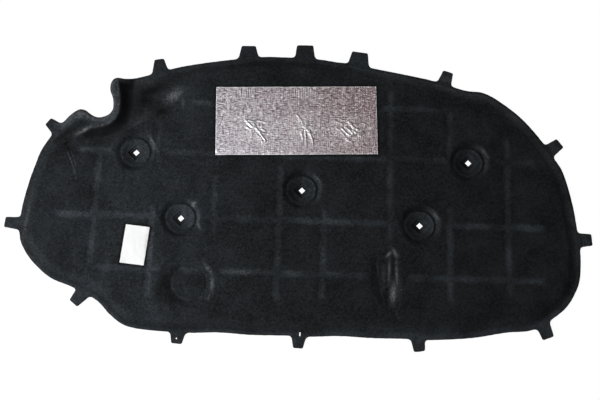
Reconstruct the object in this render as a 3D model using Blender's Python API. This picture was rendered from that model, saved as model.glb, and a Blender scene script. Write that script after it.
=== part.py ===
"""Hood insulation pad: a moulded felt liner with edge tabs and five clip seats, its foil shield and a label.

The pad lies on its flat back with its engine side up. X runs across the car, Y along it, and the origin
is on the floor, below the middle of the whole outline. Everything is in metres.
"""

import math

import bmesh
import bpy
import numpy as np
from mathutils import Matrix, Vector
from mathutils.geometry import delaunay_2d_cdt

# Felt thicknesses
BODY_THICK = 0.014
HEM_THICK = 0.003
HEM_WIDE = 0.008
SHOULDER_WIDE = 0.016

# Lip round the notch, where the felt stays thick up to its edge
LIP_RISE = 0.003
LIP_ROUND = 0.006
LIP_EDGE_DROP = 0.005
LIP_FADE = 0.030
VALLEY_DEPTH = 0.007
VALLEY_FALL = 0.026
VALLEY_CLIMB = 0.024

# Tabs along the edge
TAB_TIP_ROUND = 0.004
TAB_ROOT_FILLET = 0.008

# Clip seats: a saucer, a moat round a flat disc, two square steps and a square hole set cornerwise
CLIP_HOLE = 0.0105
STEP_INNER = 0.018
STEP_OUTER = 0.027
STEP_DEPTH = 0.0012
STEP_WALL = 0.0008
DISC_RADIUS = 0.032
DISC_HEIGHT = 0.0068
MOAT_WIDE = 0.003
MOAT_DEPTH = 0.0016
SAUCER_RADIUS = 0.047
SAUCER_RIM_DROP = 0.0045

# Pressed recesses
POCKET_FLOOR_RADIUS = 0.038
POCKET_WALL_WIDE = 0.018
POCKET_DEPTH = 0.0045
LONG_DENT_RADIUS = 0.034
LONG_DENT_DEPTH = 0.007
OVAL_DENT_LENGTH = 0.122
OVAL_DENT_WIDE = 0.074
OVAL_DENT_DEPTH = 0.007
GROOVE_WIDE = 0.016
GROOVE_FLOOR = 0.006
GROOVE_DEPTH = 0.0015

# Small pierced holes in two of the lower tabs
SLIT_WIDE = 0.0028
SLIT_LONG = 0.0085
EYELET = 0.0034

# Foil shield and label, both stuck flat on the felt
STUCK_GAP = 0.0003
FOIL_LONG = 0.368
FOIL_WIDE = 0.161
FOIL_THICK = 0.0006
FOIL_PLACE = (-0.0125, 0.1615)
FOIL_TURN = math.radians(2.1)
LABEL_LONG = 0.086
LABEL_WIDE = 0.0534
LABEL_THICK = 0.0003
LABEL_PLACE = (-0.3607, -0.1367)
LABEL_TURN = math.radians(-5.2)

# Middle line that the seats and the pressed grid mirror about, and the grid's lines
AXIS_X = 0.0035
GRID_X = (0.050, 0.197, 0.3315, 0.461)
GRID_Y = (0.1955, 0.0765, -0.072, -0.190)
SEAT_MIDDLE = (0.0015, 0.0005)
SEAT_OUTER = (0.378, 0.0765)
SEAT_INNER = (0.2675, -0.072)

POCKET_PLACE = (-0.238, -0.217)
LONG_DENT_ENDS = ((0.195, -0.152), (0.198, -0.230))
OVAL_DENT_PLACE = (-0.327, 0.208)
OVAL_DENT_TURN = math.radians(10)

# How finely the pad's plan is drawn, with the shares of a slope's width at which a line runs along it
CURVE_STEP = 0.014
RING_SIDES = 40
EYELET_SIDES = 10
SLIT_SIDES = 4
CAPSULE_SIDES = 8
BEND_TURNS = 4
OVAL_SIDES = 24
SHOULDER_LINES = (0, 0.25, 0.5, 0.75, 1)
POCKET_LINES = (0, 0.33, 0.67, 1)
LONG_DENT_LINES = (0.1, 0.33, 0.67, 1)
OVAL_DENT_LINES = (0.15, 0.4, 0.7, 1)
OFFSET_SLACK = 0.0004
MERGE = 0.0001
SHARP_ANGLE = math.radians(35)

# Finishes
FELT_COLOUR = (0.018, 0.020, 0.021)
FELT_ROUGHNESS = 0.95
FOIL_COLOUR = (0.62, 0.58, 0.60)
FOIL_ROUGHNESS = 0.35
PAPER_COLOUR = (0.90, 0.90, 0.88)
PAPER_ROUGHNESS = 0.6

# Trim line without its tabs, clockwise from the left side: x, y and how far the felt stays thick there
TRIM = (
    (-0.623, -0.075, 0), (-0.613, -0.006, 0), (-0.600, 0.046, 0), (-0.591, 0.075, 0), (-0.571, 0.111, 0),
    (-0.547, 0.142, 0.5), (-0.521, 0.168, 1), (-0.508, 0.174, 1), (-0.497, 0.172, 1), (-0.481, 0.161, 1),
    (-0.467, 0.156, 1), (-0.445, 0.162, 1), (-0.436, 0.172, 1), (-0.434, 0.184, 1), (-0.436, 0.201, 1),
    (-0.444, 0.223, 1), (-0.443, 0.240, 1), (-0.437, 0.249, 1), (-0.428, 0.252, 1), (-0.394, 0.254, 0),
    (-0.357, 0.264, 0), (-0.305, 0.281, 0), (-0.250, 0.294, 0), (-0.162, 0.309, 0), (-0.102, 0.317, 0),
    (-0.034, 0.318, 0), (0.032, 0.316, 0), (0.078, 0.310, 0), (0.100, 0.3085, 0), (0.160, 0.298, 0),
    (0.305, 0.271, 0), (0.379, 0.250, 0), (0.414, 0.247, 0), (0.435, 0.239, 0), (0.469, 0.217, 0),
    (0.499, 0.193, 0), (0.519, 0.173, 0), (0.555, 0.129, 0), (0.579, 0.092, 0), (0.594, 0.069, 0),
    (0.609, 0.021, 0), (0.617, -0.016, 0), (0.625, -0.071, 0), (0.630, -0.114, 0), (0.626, -0.183, 0),
    (0.616, -0.210, 0), (0.595, -0.243, 0), (0.563, -0.270, 0), (0.525, -0.294, 0), (0.459, -0.303, 0),
    (0.389, -0.316, 0), (0.291, -0.324, 0), (0.247, -0.323, 0), (0.165, -0.3235, 0), (0.097, -0.3215, 0),
    (0.029, -0.325, 0), (-0.014, -0.324, 0), (-0.095, -0.325, 0), (-0.167, -0.322, 0), (-0.235, -0.325, 0),
    (-0.276, -0.324, 0), (-0.353, -0.318, 0), (-0.379, -0.310, 0), (-0.406, -0.291, 0), (-0.431, -0.266, 0),
    (-0.448, -0.254, 0), (-0.491, -0.234, 0), (-0.544, -0.214, 0), (-0.579, -0.187, 0), (-0.603, -0.160, 0),
    (-0.620, -0.127, 0),
)

# Tabs, clockwise from the left one: foot x and y, heading in degrees, reach, width of the tip and of the foot
TABS = (
    (-0.6225, -0.0950, 176, 0.0345, 0.023, 0.029), (-0.5585, 0.1260, 142, 0.0295, 0.020, 0.032),
    (-0.3325, 0.2725, 99, 0.0315, 0.022, 0.038), (-0.1290, 0.3145, 92, 0.0290, 0.033, 0.047),
    (0.0025, 0.3180, 91, 0.0315, 0.038, 0.047), (0.1275, 0.3040, 84, 0.0325, 0.037, 0.050),
    (0.3275, 0.2645, 72, 0.0320, 0.024, 0.033), (0.5680, 0.1120, 38, 0.0315, 0.025, 0.032),
    (0.6285, -0.0930, 4, 0.0285, 0.026, 0.032), (0.5425, -0.2840, -69, 0.0300, 0.026, 0.031),
    (0.2680, -0.3225, -82, 0.0270, 0.024, 0.031), (0.0085, -0.3230, -93, 0.0275, 0.021, 0.034),
    (-0.2555, -0.3230, -94, 0.0257, 0.023, 0.034), (-0.4700, -0.2450, -128, 0.0300, 0.023, 0.033),
)
SLIT_PLACE = (0.0105, -0.320)
EYELET_PLACE = (-0.2580, -0.3375)

# Crest of the lip round the notch, with the valley on its inner side, from the left end to the top edge
CREST = (
    (-0.510, 0.110), (-0.497, 0.120), (-0.478, 0.129), (-0.455, 0.134), (-0.437, 0.143), (-0.424, 0.160),
    (-0.4195, 0.182), (-0.421, 0.207), (-0.4265, 0.235), (-0.430, 0.256),
)

# Pressed grid: line number on its own axis, then where the groove starts and ends on the other axis
GROOVES_UP = (
    (-4, -0.190, 0.0765), (-3, -0.255, -0.040), (-3, 0.045, 0.160), (-2, -0.115, 0.030),
    (-1, -0.255, 0.058), (1, -0.250, -0.040), (2, -0.112, 0.240), (3, 0.0765, 0.1955),
    (3, -0.250, -0.030), (4, -0.225, 0.135),
)
GROOVES_ACROSS = (
    (0, -0.255, -0.205), (0, 0.178, 0.335), (1, -0.510, -0.427), (1, -0.320, 0.335), (1, 0.432, 0.530),
    (2, -0.545, -0.315), (2, -0.212, 0.220), (2, 0.321, 0.550), (3, -0.4575, -0.300), (3, -0.270, -0.212),
    (3, -0.176, 0.150), (3, 0.240, 0.545),
)


def smooth(share):
    """Eases a share from 0 to 1, held flat past both ends."""
    share = np.clip(share, 0.0, 1.0)
    return share * share * (3 - 2 * share)


def curve_through(stations, closed, step=CURVE_STEP):
    """Returns points along a centripetal Catmull-Rom curve through the stations, about one step apart."""
    knots = [np.array(station, float) for station in stations]
    if closed:
        knots = [knots[-1]] + knots + knots[:2]
    else:
        knots = [2 * knots[0] - knots[1]] + knots + [2 * knots[-1] - knots[-2]]
    points = []
    for before, start, end, after in zip(knots, knots[1:], knots[2:], knots[3:]):
        pairs = ((before, start), (start, end), (end, after))
        first, middle, last = [max(math.dist(a[:2], b[:2]), MERGE) ** 0.5 for a, b in pairs]
        leave = middle * ((start - before) / first - (end - before) / (first + middle)) + (end - start)
        arrive = middle * ((after - end) / last - (after - start) / (middle + last)) + (end - start)
        count = max(1, round(math.dist(start[:2], end[:2]) / step))
        for number in range(count):
            t = number / count
            points.append((2 * t**3 - 3 * t**2 + 1) * start + (t**3 - 2 * t**2 + t) * leave
                          + (3 * t**2 - 2 * t**3) * end + (t**3 - t**2) * arrive)
    if not closed:
        points.append(knots[-2])
    return np.array(points)


def nearest_on(line, points, closed):
    """Gives each point's distance to the line, the part of it that is nearest and the share along that."""
    starts = line[:, :2]
    ends = np.roll(starts, -1, axis=0)
    if not closed:
        starts, ends = starts[:-1], ends[:-1]
    run = ends - starts
    offset = points[:, None, :2] - starts[None]
    share = np.clip((offset * run).sum(-1) / np.maximum((run * run).sum(-1), 1e-12), 0, 1)
    distance = np.linalg.norm(offset - share[..., None] * run[None], axis=-1)
    part = distance.argmin(axis=1)
    row = np.arange(len(points))
    return distance[row, part], part, share[row, part]


def inside(line, points):
    """Tells for each point whether it lies inside the closed line."""
    start = line[None, :, :2]
    end = np.roll(line[:, :2], -1, axis=0)[None]
    x, y = points[:, None, 0], points[:, None, 1]
    spans = (start[..., 1] > y) != (end[..., 1] > y)
    rise = np.where(spans, end[..., 1] - start[..., 1], 1.0)
    crossing = start[..., 0] + (y - start[..., 1]) * (end[..., 0] - start[..., 0]) / rise
    return (spans & (x < crossing)).sum(axis=1) % 2 == 1


def round_corner(before, corner, after, radius, turns=BEND_TURNS):
    """Returns an arc-like bend that cuts the corner as far back as the radius or half a side allows."""
    back = min(radius, math.dist(before, corner) / 2, math.dist(corner, after) / 2)
    start = corner + (before - corner) * back / math.dist(before, corner)
    end = corner + (after - corner) * back / math.dist(after, corner)
    shares = [number / turns for number in range(turns + 1)]
    return [(1 - t) ** 2 * start + 2 * t * (1 - t) * corner + t**2 * end for t in shares]


def meet(line, start, heading):
    """Finds where the ray from start crosses the closed line first: the part of the line and the point."""
    begins = line[:, :2]
    runs = np.roll(begins, -1, axis=0) - begins
    across = np.array((-heading[1], heading[0]))
    down = runs @ across
    share = ((start - begins) @ across) / np.where(abs(down) < 1e-12, 1e-12, down)
    reach = (begins + share[:, None] * runs - start) @ heading
    hit = (share >= 0) & (share < 1) & (reach > 0)
    part = int(np.where(hit, reach, np.inf).argmin())
    return part, begins[part] + share[part] * runs[part]


def trim_with_tabs(trim):
    """Returns the whole outline: the trim line with each tab's rounded tip and filleted roots let into it."""
    pieces = []
    for foot_x, foot_y, heading, reach, tip_wide, foot_wide in TABS:
        along = np.array((math.cos(math.radians(heading)), math.sin(math.radians(heading))))
        side = np.array((-along[1], along[0]))
        tip = np.array((foot_x, foot_y)) + along * reach
        corners = [tip + side * tip_wide / 2, tip - side * tip_wide / 2]
        flare = side * (foot_wide - tip_wide) / 2
        flanks = [flare - along * reach, -flare - along * reach]
        roots = [meet(trim, corner, flank / np.linalg.norm(flank)) for corner, flank in zip(corners, flanks)]
        pieces.append((roots, corners))
    outline = []
    count = len(trim)
    reach_back = 1 + round(TAB_ROOT_FILLET / CURVE_STEP)
    taken = set()
    arcs = {}
    for (first, second), corners in pieces:
        enter = (first[0] - reach_back) % count
        leave = (second[0] + 1 + reach_back) % count
        path = [trim[enter, :2], first[1], corners[0], corners[1], second[1], trim[leave, :2]]
        arc = []
        radii = (TAB_ROOT_FILLET, TAB_TIP_ROUND, TAB_TIP_ROUND, TAB_ROOT_FILLET)
        for number, radius in enumerate(radii, start=1):
            arc += round_corner(path[number - 1], path[number], path[number + 1], radius)
        arcs[enter] = arc
        number = (enter + 1) % count
        while number != leave:
            taken.add(number)
            number = (number + 1) % count
    for number in range(count):
        if number not in taken:
            outline.append(trim[number, :2])
        if number in arcs:
            outline += arcs[number]
    return np.array(outline)


def ring_inside(trim, distance):
    """Returns the closed line at the distance inside the trim line, without the loops of tight corners."""
    ahead = np.roll(trim[:, :2], -1, axis=0) - np.roll(trim[:, :2], 1, axis=0)
    inward = np.stack((ahead[:, 1], -ahead[:, 0]), axis=1) / np.linalg.norm(ahead, axis=1)[:, None]
    ring = trim[:, :2] + inward * distance
    clear = nearest_on(trim, ring, closed=True)[0]
    return ring[clear > distance - OFFSET_SLACK]


def circle(centre, radius, sides=RING_SIDES):
    """Returns the corners of a many-sided ring."""
    turns = np.arange(sides) * 2 * math.pi / sides
    return np.stack((centre[0] + radius * np.cos(turns), centre[1] + radius * np.sin(turns)), axis=1)


def diamond(centre, side):
    """Returns the corners of a square that stands on one of its corners."""
    reach = side / math.sqrt(2)
    x, y = centre
    return np.array(((x + reach, y), (x, y + reach), (x - reach, y), (x, y - reach)))


def capsule(start, end, radius, sides=CAPSULE_SIDES):
    """Returns the closed line round a stretch, with half circles at both ends."""
    start, end = np.array(start), np.array(end)
    heading = math.atan2(end[1] - start[1], end[0] - start[0])
    points = []
    for centre, first in ((end, heading - math.pi / 2), (start, heading + math.pi / 2)):
        turns = first + np.arange(sides + 1) * math.pi / sides
        points.append(np.stack((centre[0] + radius * np.cos(turns), centre[1] + radius * np.sin(turns)), axis=1))
    return np.concatenate(points)


def oval(centre, length, width, turn, sides=OVAL_SIDES):
    """Returns the corners of an ellipse that is turned in the plan."""
    turns = np.arange(sides) * 2 * math.pi / sides
    x, y = np.cos(turns) * length / 2, np.sin(turns) * width / 2
    return np.stack((centre[0] + x * math.cos(turn) - y * math.sin(turn),
                     centre[1] + x * math.sin(turn) + y * math.cos(turn)), axis=1)


def seats():
    """Returns the centres of the five clip seats, mirrored about the middle line."""
    places = [(AXIS_X + SEAT_MIDDLE[0], SEAT_MIDDLE[1])]
    for reach, y in (SEAT_OUTER, SEAT_INNER):
        places += [(AXIS_X - reach, y), (AXIS_X + reach, y)]
    return places


def grooves():
    """Returns the start and end of each pressed groove."""
    lines = []
    for number, low, high in GROOVES_UP:
        x = AXIS_X + math.copysign(GRID_X[abs(number) - 1], number)
        lines.append(((x, low), (x, high)))
    for number, left, right in GROOVES_ACROSS:
        lines.append(((left, GRID_Y[number]), (right, GRID_Y[number])))
    return [(np.array(start), np.array(end)) for start, end in lines]


def seat_profile():
    """Returns the seat's radii and heights, from its flat disc out to the top of its saucer."""
    return ((0.0, DISC_HEIGHT), (DISC_RADIUS, DISC_HEIGHT),
            (DISC_RADIUS + MOAT_WIDE / 2, DISC_HEIGHT - MOAT_DEPTH),
            (DISC_RADIUS + MOAT_WIDE, BODY_THICK - SAUCER_RIM_DROP), (SAUCER_RADIUS, BODY_THICK))


def recess_depth(points):
    """Returns how deep the pocket, the two dents and the grooves are pressed at each point."""
    from_pocket = np.linalg.norm(points - POCKET_PLACE, axis=1)
    depth = POCKET_DEPTH * (1 - smooth((from_pocket - POCKET_FLOOR_RADIUS) / POCKET_WALL_WIDE))
    from_long = nearest_on(np.array(LONG_DENT_ENDS), points, closed=False)[0]
    depth = np.maximum(depth, LONG_DENT_DEPTH * (1 - smooth(from_long / LONG_DENT_RADIUS)))
    turn = Matrix.Rotation(-OVAL_DENT_TURN, 2)
    local = (points - OVAL_DENT_PLACE) @ np.array(turn).T
    from_oval = np.hypot(local[:, 0] / (OVAL_DENT_LENGTH / 2), local[:, 1] / (OVAL_DENT_WIDE / 2))
    depth = np.maximum(depth, OVAL_DENT_DEPTH * (1 - smooth(from_oval)))
    pressed = np.zeros(len(points))
    for start, end in grooves():
        along = (end - start) / np.linalg.norm(end - start)
        ahead = (points - start) @ along
        aside = abs((points - start) @ np.array((-along[1], along[0])))
        short = np.maximum(np.maximum(-ahead, ahead - np.linalg.norm(end - start)) + GROOVE_WIDE / 2, 0)
        wall = (GROOVE_WIDE - GROOVE_FLOOR) / 2
        share = (np.maximum(aside, short) - GROOVE_FLOOR / 2) / wall
        pressed = np.maximum(pressed, GROOVE_DEPTH * (1 - np.clip(share, 0, 1)))
    return depth + pressed


def lip_change(points, crest):
    """Returns how far the felt stands above the body's level: up at the lip's crest, down in the valley."""
    distance, part, share = nearest_on(crest, points, closed=False)
    run = crest[part + 1] - crest[part]
    offset = points - crest[part]
    inner = (run[:, 0] * offset[:, 1] - run[:, 1] * offset[:, 0]) < 0
    rise = LIP_RISE * (1 - smooth(distance / LIP_FADE))
    fall = smooth(distance / VALLEY_FALL) * (1 - smooth((distance - VALLEY_FALL) / VALLEY_CLIMB))
    from_start = np.linalg.norm(points - crest[0], axis=1)
    ease = smooth(from_start / (VALLEY_FALL + VALLEY_CLIMB))
    down = rise * (1 - smooth(distance / VALLEY_FALL)) - VALLEY_DEPTH * fall * ease
    return np.where(inner, down, rise)


def heights(points, trim, crest):
    """Returns the height of the pad's engine side at each point."""
    distance, part, share = nearest_on(trim, points, closed=True)
    distance = np.where(inside(trim, points), distance, 0.0)
    thick = trim[:, 2]
    padded = smooth(thick[part] + share * (thick[(part + 1) % len(trim)] - thick[part]))
    hemmed = HEM_THICK + (BODY_THICK - HEM_THICK) * smooth((distance - HEM_WIDE) / SHOULDER_WIDE)
    lipped = BODY_THICK - LIP_EDGE_DROP * (1 - smooth(distance / LIP_ROUND))
    height = hemmed + padded * (lipped - hemmed)
    full = smooth(distance / (HEM_WIDE + SHOULDER_WIDE))
    change = lip_change(points, crest) * np.maximum(padded, full) - recess_depth(points) * full
    height = height + change
    for centre in seats():
        offset = points - centre
        radii, levels = zip(*seat_profile())
        radius = np.linalg.norm(offset, axis=1)
        aside = abs(offset).sum(axis=1) / math.sqrt(2)
        level = np.interp(radius, radii, levels)
        for side in (STEP_OUTER, STEP_INNER):
            level = level - STEP_DEPTH * np.clip((side / 2 - aside) / STEP_WALL, 0, 1)
        height = np.where(radius < SAUCER_RADIUS, np.minimum(height, level), height)
    return np.maximum(height, HEM_THICK)


class Plan:
    """Collects the lines of the pad's plan, which may cross each other."""

    def __init__(self):
        self.points = []
        self.edges = []

    def add(self, line, closed=True):
        """Adds a line point by point, joined back to its start where it is closed."""
        first = len(self.points)
        self.points += [Vector((float(x), float(y))) for x, y in np.asarray(line)[:, :2]]
        last = len(self.points) - 1
        self.edges += [(number, number + 1) for number in range(first, last)]
        if closed:
            self.edges.append((last, first))


def pad_plan(outline, trim, crest, holes):
    """Draws every line at which the pad's engine side bends."""
    plan = Plan()
    plan.add(outline)
    for hole in holes:
        plan.add(hole)
    for share in SHOULDER_LINES:
        plan.add(ring_inside(trim, HEM_WIDE + share * SHOULDER_WIDE))
    for centre in seats():
        for radius, level in seat_profile()[1:]:
            plan.add(circle(centre, radius))
        for side in (STEP_OUTER, STEP_INNER):
            plan.add(diamond(centre, side))
            plan.add(diamond(centre, side - 2 * STEP_WALL))
    for share in POCKET_LINES:
        plan.add(circle(POCKET_PLACE, POCKET_FLOOR_RADIUS + share * POCKET_WALL_WIDE))
    for share in LONG_DENT_LINES:
        plan.add(capsule(*LONG_DENT_ENDS, LONG_DENT_RADIUS * share))
    for share in OVAL_DENT_LINES:
        plan.add(oval(OVAL_DENT_PLACE, OVAL_DENT_LENGTH * share, OVAL_DENT_WIDE * share, OVAL_DENT_TURN))
    plan.add(crest, closed=False)
    ahead = np.gradient(crest, axis=0)
    inward = np.stack((ahead[:, 1], -ahead[:, 0]), axis=1) / np.linalg.norm(ahead, axis=1)[:, None]
    for offset in (-LIP_FADE, -LIP_FADE / 2, VALLEY_FALL / 2, VALLEY_FALL, VALLEY_FALL + VALLEY_CLIMB / 2,
                   VALLEY_FALL + VALLEY_CLIMB):
        line = crest + inward * offset
        line = line[nearest_on(crest, line, closed=False)[0] > abs(offset) - OFFSET_SLACK]
        plan.add(line[inside(trim, line)], closed=False)
    for start, end in grooves():
        along = (end - start) / np.linalg.norm(end - start)
        aside = np.array((-along[1], along[0]))
        for half, back in ((GROOVE_WIDE / 2, 0), (GROOVE_FLOOR / 2, (GROOVE_WIDE - GROOVE_FLOOR) / 2)):
            low, high = start + along * back, end - along * back
            plan.add(np.array((low - aside * half, high - aside * half,
                               high + aside * half, low + aside * half)))
    return plan


def surface(name, color, roughness, metallic=0.0):
    """Makes a plain material from a piece's colour and sheen."""
    material = bpy.data.materials.new(name)
    material.use_nodes = True
    shader = material.node_tree.nodes["Principled BSDF"]
    shader.inputs["Base Color"].default_value = (*color, 1)
    shader.inputs["Roughness"].default_value = roughness
    shader.inputs["Metallic"].default_value = metallic
    return material


def place(name, mesh, material):
    """Links a piece's finished mesh into the scene under the piece's name."""
    mesh.materials.append(material)
    piece = bpy.data.objects.new(name, mesh)
    bpy.context.scene.collection.objects.link(piece)
    return piece


def insulation_pad():
    """Builds the moulded felt pad: its pressed engine side, its flat back and the trimmed edge between them."""
    trim = curve_through(TRIM, closed=True)
    crest = curve_through(CREST, closed=False)
    outline = trim_with_tabs(trim)
    holes = [diamond(centre, CLIP_HOLE) for centre in seats()]
    half = (SLIT_LONG - SLIT_WIDE) / 2
    x, y = SLIT_PLACE
    holes.append(capsule((x, y - half), (x, y + half), SLIT_WIDE / 2, sides=SLIT_SIDES))
    holes.append(circle(EYELET_PLACE, EYELET / 2, sides=EYELET_SIDES))
    plan = pad_plan(outline, trim, crest, holes)
    spots, lines, faces = delaunay_2d_cdt(plan.points, plan.edges, [], 1, MERGE)[:3]
    spots = np.array([tuple(spot) for spot in spots])
    middles = np.array([spots[list(face)].mean(axis=0) for face in faces])
    kept = inside(outline, middles)
    for hole in holes:
        kept &= ~inside(hole, middles)
    levels = heights(spots, trim, crest)

    form = bmesh.new()
    corners = [form.verts.new((x, y, z)) for (x, y), z in zip(spots, levels)]
    for face, keep in zip(faces, kept):
        if keep:
            form.faces.new([corners[number] for number in face])
    bmesh.ops.delete(form, geom=[corner for corner in form.verts if not corner.link_faces], context="VERTS")
    edges = [edge for edge in form.edges if edge.is_boundary]
    walls = bmesh.ops.extrude_edge_only(form, edges=edges)["geom"]
    for corner in walls:
        if isinstance(corner, bmesh.types.BMVert):
            corner.co.z = 0.0
    edges = [edge for edge in form.edges if edge.is_boundary]
    bmesh.ops.triangle_fill(form, edges=edges, use_beauty=True)
    bmesh.ops.triangulate(form, faces=form.faces)
    bmesh.ops.recalc_face_normals(form, faces=form.faces)
    mesh = bpy.data.meshes.new("insulation_pad")
    form.to_mesh(mesh)
    form.free()
    mesh.shade_smooth()
    mesh.set_sharp_from_angle(angle=SHARP_ANGLE)
    return place("insulation_pad", mesh, surface("black_felt", FELT_COLOUR, FELT_ROUGHNESS))


def stuck_sheet(name, length, width, thickness, centre, turn, material):
    """Builds a thin flat sheet that lies on the pad's body."""
    form = bmesh.new()
    bmesh.ops.create_cube(form, size=1.0)
    bmesh.ops.scale(form, vec=(length, width, thickness), verts=form.verts)
    mesh = bpy.data.meshes.new(name)
    form.to_mesh(mesh)
    form.free()
    sheet = place(name, mesh, material)
    sheet.location = (*centre, BODY_THICK + STUCK_GAP + thickness / 2)
    sheet.rotation_euler.z = turn
    return sheet


for leftover in list(bpy.data.objects):
    bpy.data.objects.remove(leftover)
insulation_pad()
stuck_sheet("foil_heat_shield", FOIL_LONG, FOIL_WIDE, FOIL_THICK, FOIL_PLACE, FOIL_TURN,
            surface("crinkled_foil", FOIL_COLOUR, FOIL_ROUGHNESS, metallic=1.0))
stuck_sheet("paper_label", LABEL_WIDE, LABEL_LONG, LABEL_THICK, LABEL_PLACE, LABEL_TURN,
            surface("white_paper", PAPER_COLOUR, PAPER_ROUGHNESS))
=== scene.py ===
"""A hood insulation pad lying on its flat back, engine side up.

Black moulded felt with tabs round its edge and five clip seats, a crinkled foil heat shield and a bare label.
The pad keeps the frame's own axes: X across the car, Y along it, Z up from the floor, in metres.
"""
import math

import bpy
import numpy as np
from mathutils import Matrix, Vector, kdtree, noise
from mathutils.geometry import delaunay_2d_cdt


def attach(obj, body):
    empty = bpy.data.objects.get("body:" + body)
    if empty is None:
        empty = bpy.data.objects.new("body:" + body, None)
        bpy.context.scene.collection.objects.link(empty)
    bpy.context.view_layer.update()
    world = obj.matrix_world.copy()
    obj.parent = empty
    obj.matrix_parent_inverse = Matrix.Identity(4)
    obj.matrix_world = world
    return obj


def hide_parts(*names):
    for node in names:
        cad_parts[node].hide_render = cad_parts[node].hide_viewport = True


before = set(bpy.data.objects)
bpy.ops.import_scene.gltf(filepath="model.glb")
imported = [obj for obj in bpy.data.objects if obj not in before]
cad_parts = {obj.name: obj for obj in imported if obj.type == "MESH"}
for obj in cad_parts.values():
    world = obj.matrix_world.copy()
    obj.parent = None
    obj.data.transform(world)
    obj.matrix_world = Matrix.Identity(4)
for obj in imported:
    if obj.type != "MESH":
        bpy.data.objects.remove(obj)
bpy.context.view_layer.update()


# Camera. It stands at the near side of the pad, above it and leaning in, as the pad is photographed.
LENS_MM = 50.0
SENSOR_MM = 36.0
CAMERA_AIM = Vector((0.0014, -0.0208, 0.0))
CAMERA_REACH = 1.88
CAMERA_LEAN = math.radians(11.8)
CAMERA_ROLL = math.radians(1.83)

camera = bpy.data.objects.new("view", bpy.data.cameras.new("view"))
bpy.context.scene.collection.objects.link(camera)
camera.data.lens = LENS_MM
camera.data.sensor_width = SENSOR_MM
toward_camera = Vector((0, -math.sin(CAMERA_LEAN), math.cos(CAMERA_LEAN)))
camera_turn = Matrix.Rotation(CAMERA_LEAN, 4, "X") @ Matrix.Rotation(CAMERA_ROLL, 4, "Z")
camera.matrix_world = Matrix.Translation(CAMERA_AIM + toward_camera * CAMERA_REACH) @ camera_turn
bpy.context.scene.camera = camera
bpy.context.scene.view_settings.view_transform = "Standard"


# Light and floor. A broad lamp from the left rakes over the felt, and a soft one hangs overhead. The floor is
# a matt white sheet that camera and mirror see a little brighter than it is lit. The world fills in dimly and
# is white to the camera alone, because a white sky mirrored in the foil would wash its creases out.
SIDE_LAMP = {"place": (-1.70, -0.95, 0.85), "size": (0.8, 0.8), "watts": 48.0, "colour": (0.96, 0.99, 1.0)}
TOP_LAMP = {"place": (-0.55, 0.50, 2.3), "size": (1.4, 1.0), "watts": 20.0, "colour": (1.0, 0.99, 0.98)}
WHITE = (1, 1, 1, 1)
WORLD_STRENGTH = 0.12
FLOOR_SIDE = 9.0
FLOOR_DROP = 0.0004
FLOOR_COLOUR = (0.80, 0.80, 0.80, 1)
FLOOR_GLOW = 1.08
FLOOR_GLOW_SHARE = 0.88


class Wire:
    """A socket of a node tree. Sums written on it add Math nodes, and node() adds any other node."""

    def __init__(self, tree, socket):
        self.tree = tree
        self.socket = socket

    def node(self, kind, settings=None, inputs=None, output=0):
        made = self.tree.nodes.new(kind)
        for name, value in (settings or {}).items():
            setattr(made, name, value)
        for name, value in (inputs or {}).items():
            if isinstance(value, Wire):
                self.tree.links.new(value.socket, made.inputs[name])
            else:
                made.inputs[name].default_value = value
        return Wire(self.tree, made.outputs[output])

    def math(self, operation, first, second=0.0):
        return self.node("ShaderNodeMath", {"operation": operation}, {0: first, 1: second})

    def __add__(self, other):
        return self.math("ADD", self, other)

    def __sub__(self, other):
        return self.math("SUBTRACT", self, other)

    def __mul__(self, other):
        return self.math("MULTIPLY", self, other)

    def __truediv__(self, other):
        return self.math("DIVIDE", self, other)

    def __abs__(self):
        return self.math("ABSOLUTE", self)

    __radd__ = __add__
    __rmul__ = __mul__

    def __rsub__(self, other):
        return self.math("SUBTRACT", other, self)

    def __rtruediv__(self, other):
        return self.math("DIVIDE", other, self)

    def clamped(self):
        """Keeps the value between 0 and 1."""
        return self.math("MINIMUM", self.math("MAXIMUM", self, 0.0), 1.0)

    def speckle(self, scale, detail, roughness=0.5, distortion=0.0):
        """Adds a noise texture laid out by this wire's coordinates."""
        look = {"Scale": scale, "Detail": detail, "Roughness": roughness, "Distortion": distortion}
        return self.node("ShaderNodeTexNoise", {}, {"Vector": self, **look})

    def stretched(self, turn, scale):
        """Turns and scales this wire's coordinates in the plan."""
        lie = {"Rotation": (0, 0, turn), "Scale": (*scale, 1.0)}
        return self.node("ShaderNodeMapping", {}, {"Vector": self, **lie})

    def painted(self, name):
        """Reads the number that the mesh carries under this name."""
        return self.node("ShaderNodeAttribute", {"attribute_name": name}, {}, output=2)

    def blend(self, low, high):
        """Mixes two colours by this wire's value: the first at 0, the second at 1."""
        low, high = [colour if isinstance(colour, Wire) else (*colour, 1) for colour in (low, high)]
        return self.node("ShaderNodeMix", {"data_type": "RGBA"}, {0: self, 6: low, 7: high}, output=2)

    def bumps_into_normal(self, strength, distance):
        """Reads this wire as a height and tilts the surface by it."""
        height = {"Strength": strength, "Distance": distance, "Height": self}
        self.node("ShaderNodeBump", {}, height).into("Normal")

    def into(self, name, kind="ShaderNodeBsdfPrincipled"):
        """Plugs this socket into the named input of the tree's shader."""
        shader = next(node for node in self.tree.nodes if node.bl_idname == kind)
        self.tree.links.new(self.socket, shader.inputs[name])


def new_material(name, **constants):
    """Makes a material with these constants set. Returns it and the wire of its Object coordinates."""
    material = bpy.data.materials.new(name)
    material.use_nodes = True
    tree = material.node_tree
    for socket, value in constants.items():
        tree.nodes["Principled BSDF"].inputs[socket.replace("_", " ")].default_value = value
    return material, Wire(tree, tree.nodes.new("ShaderNodeTexCoord").outputs["Object"])


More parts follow.
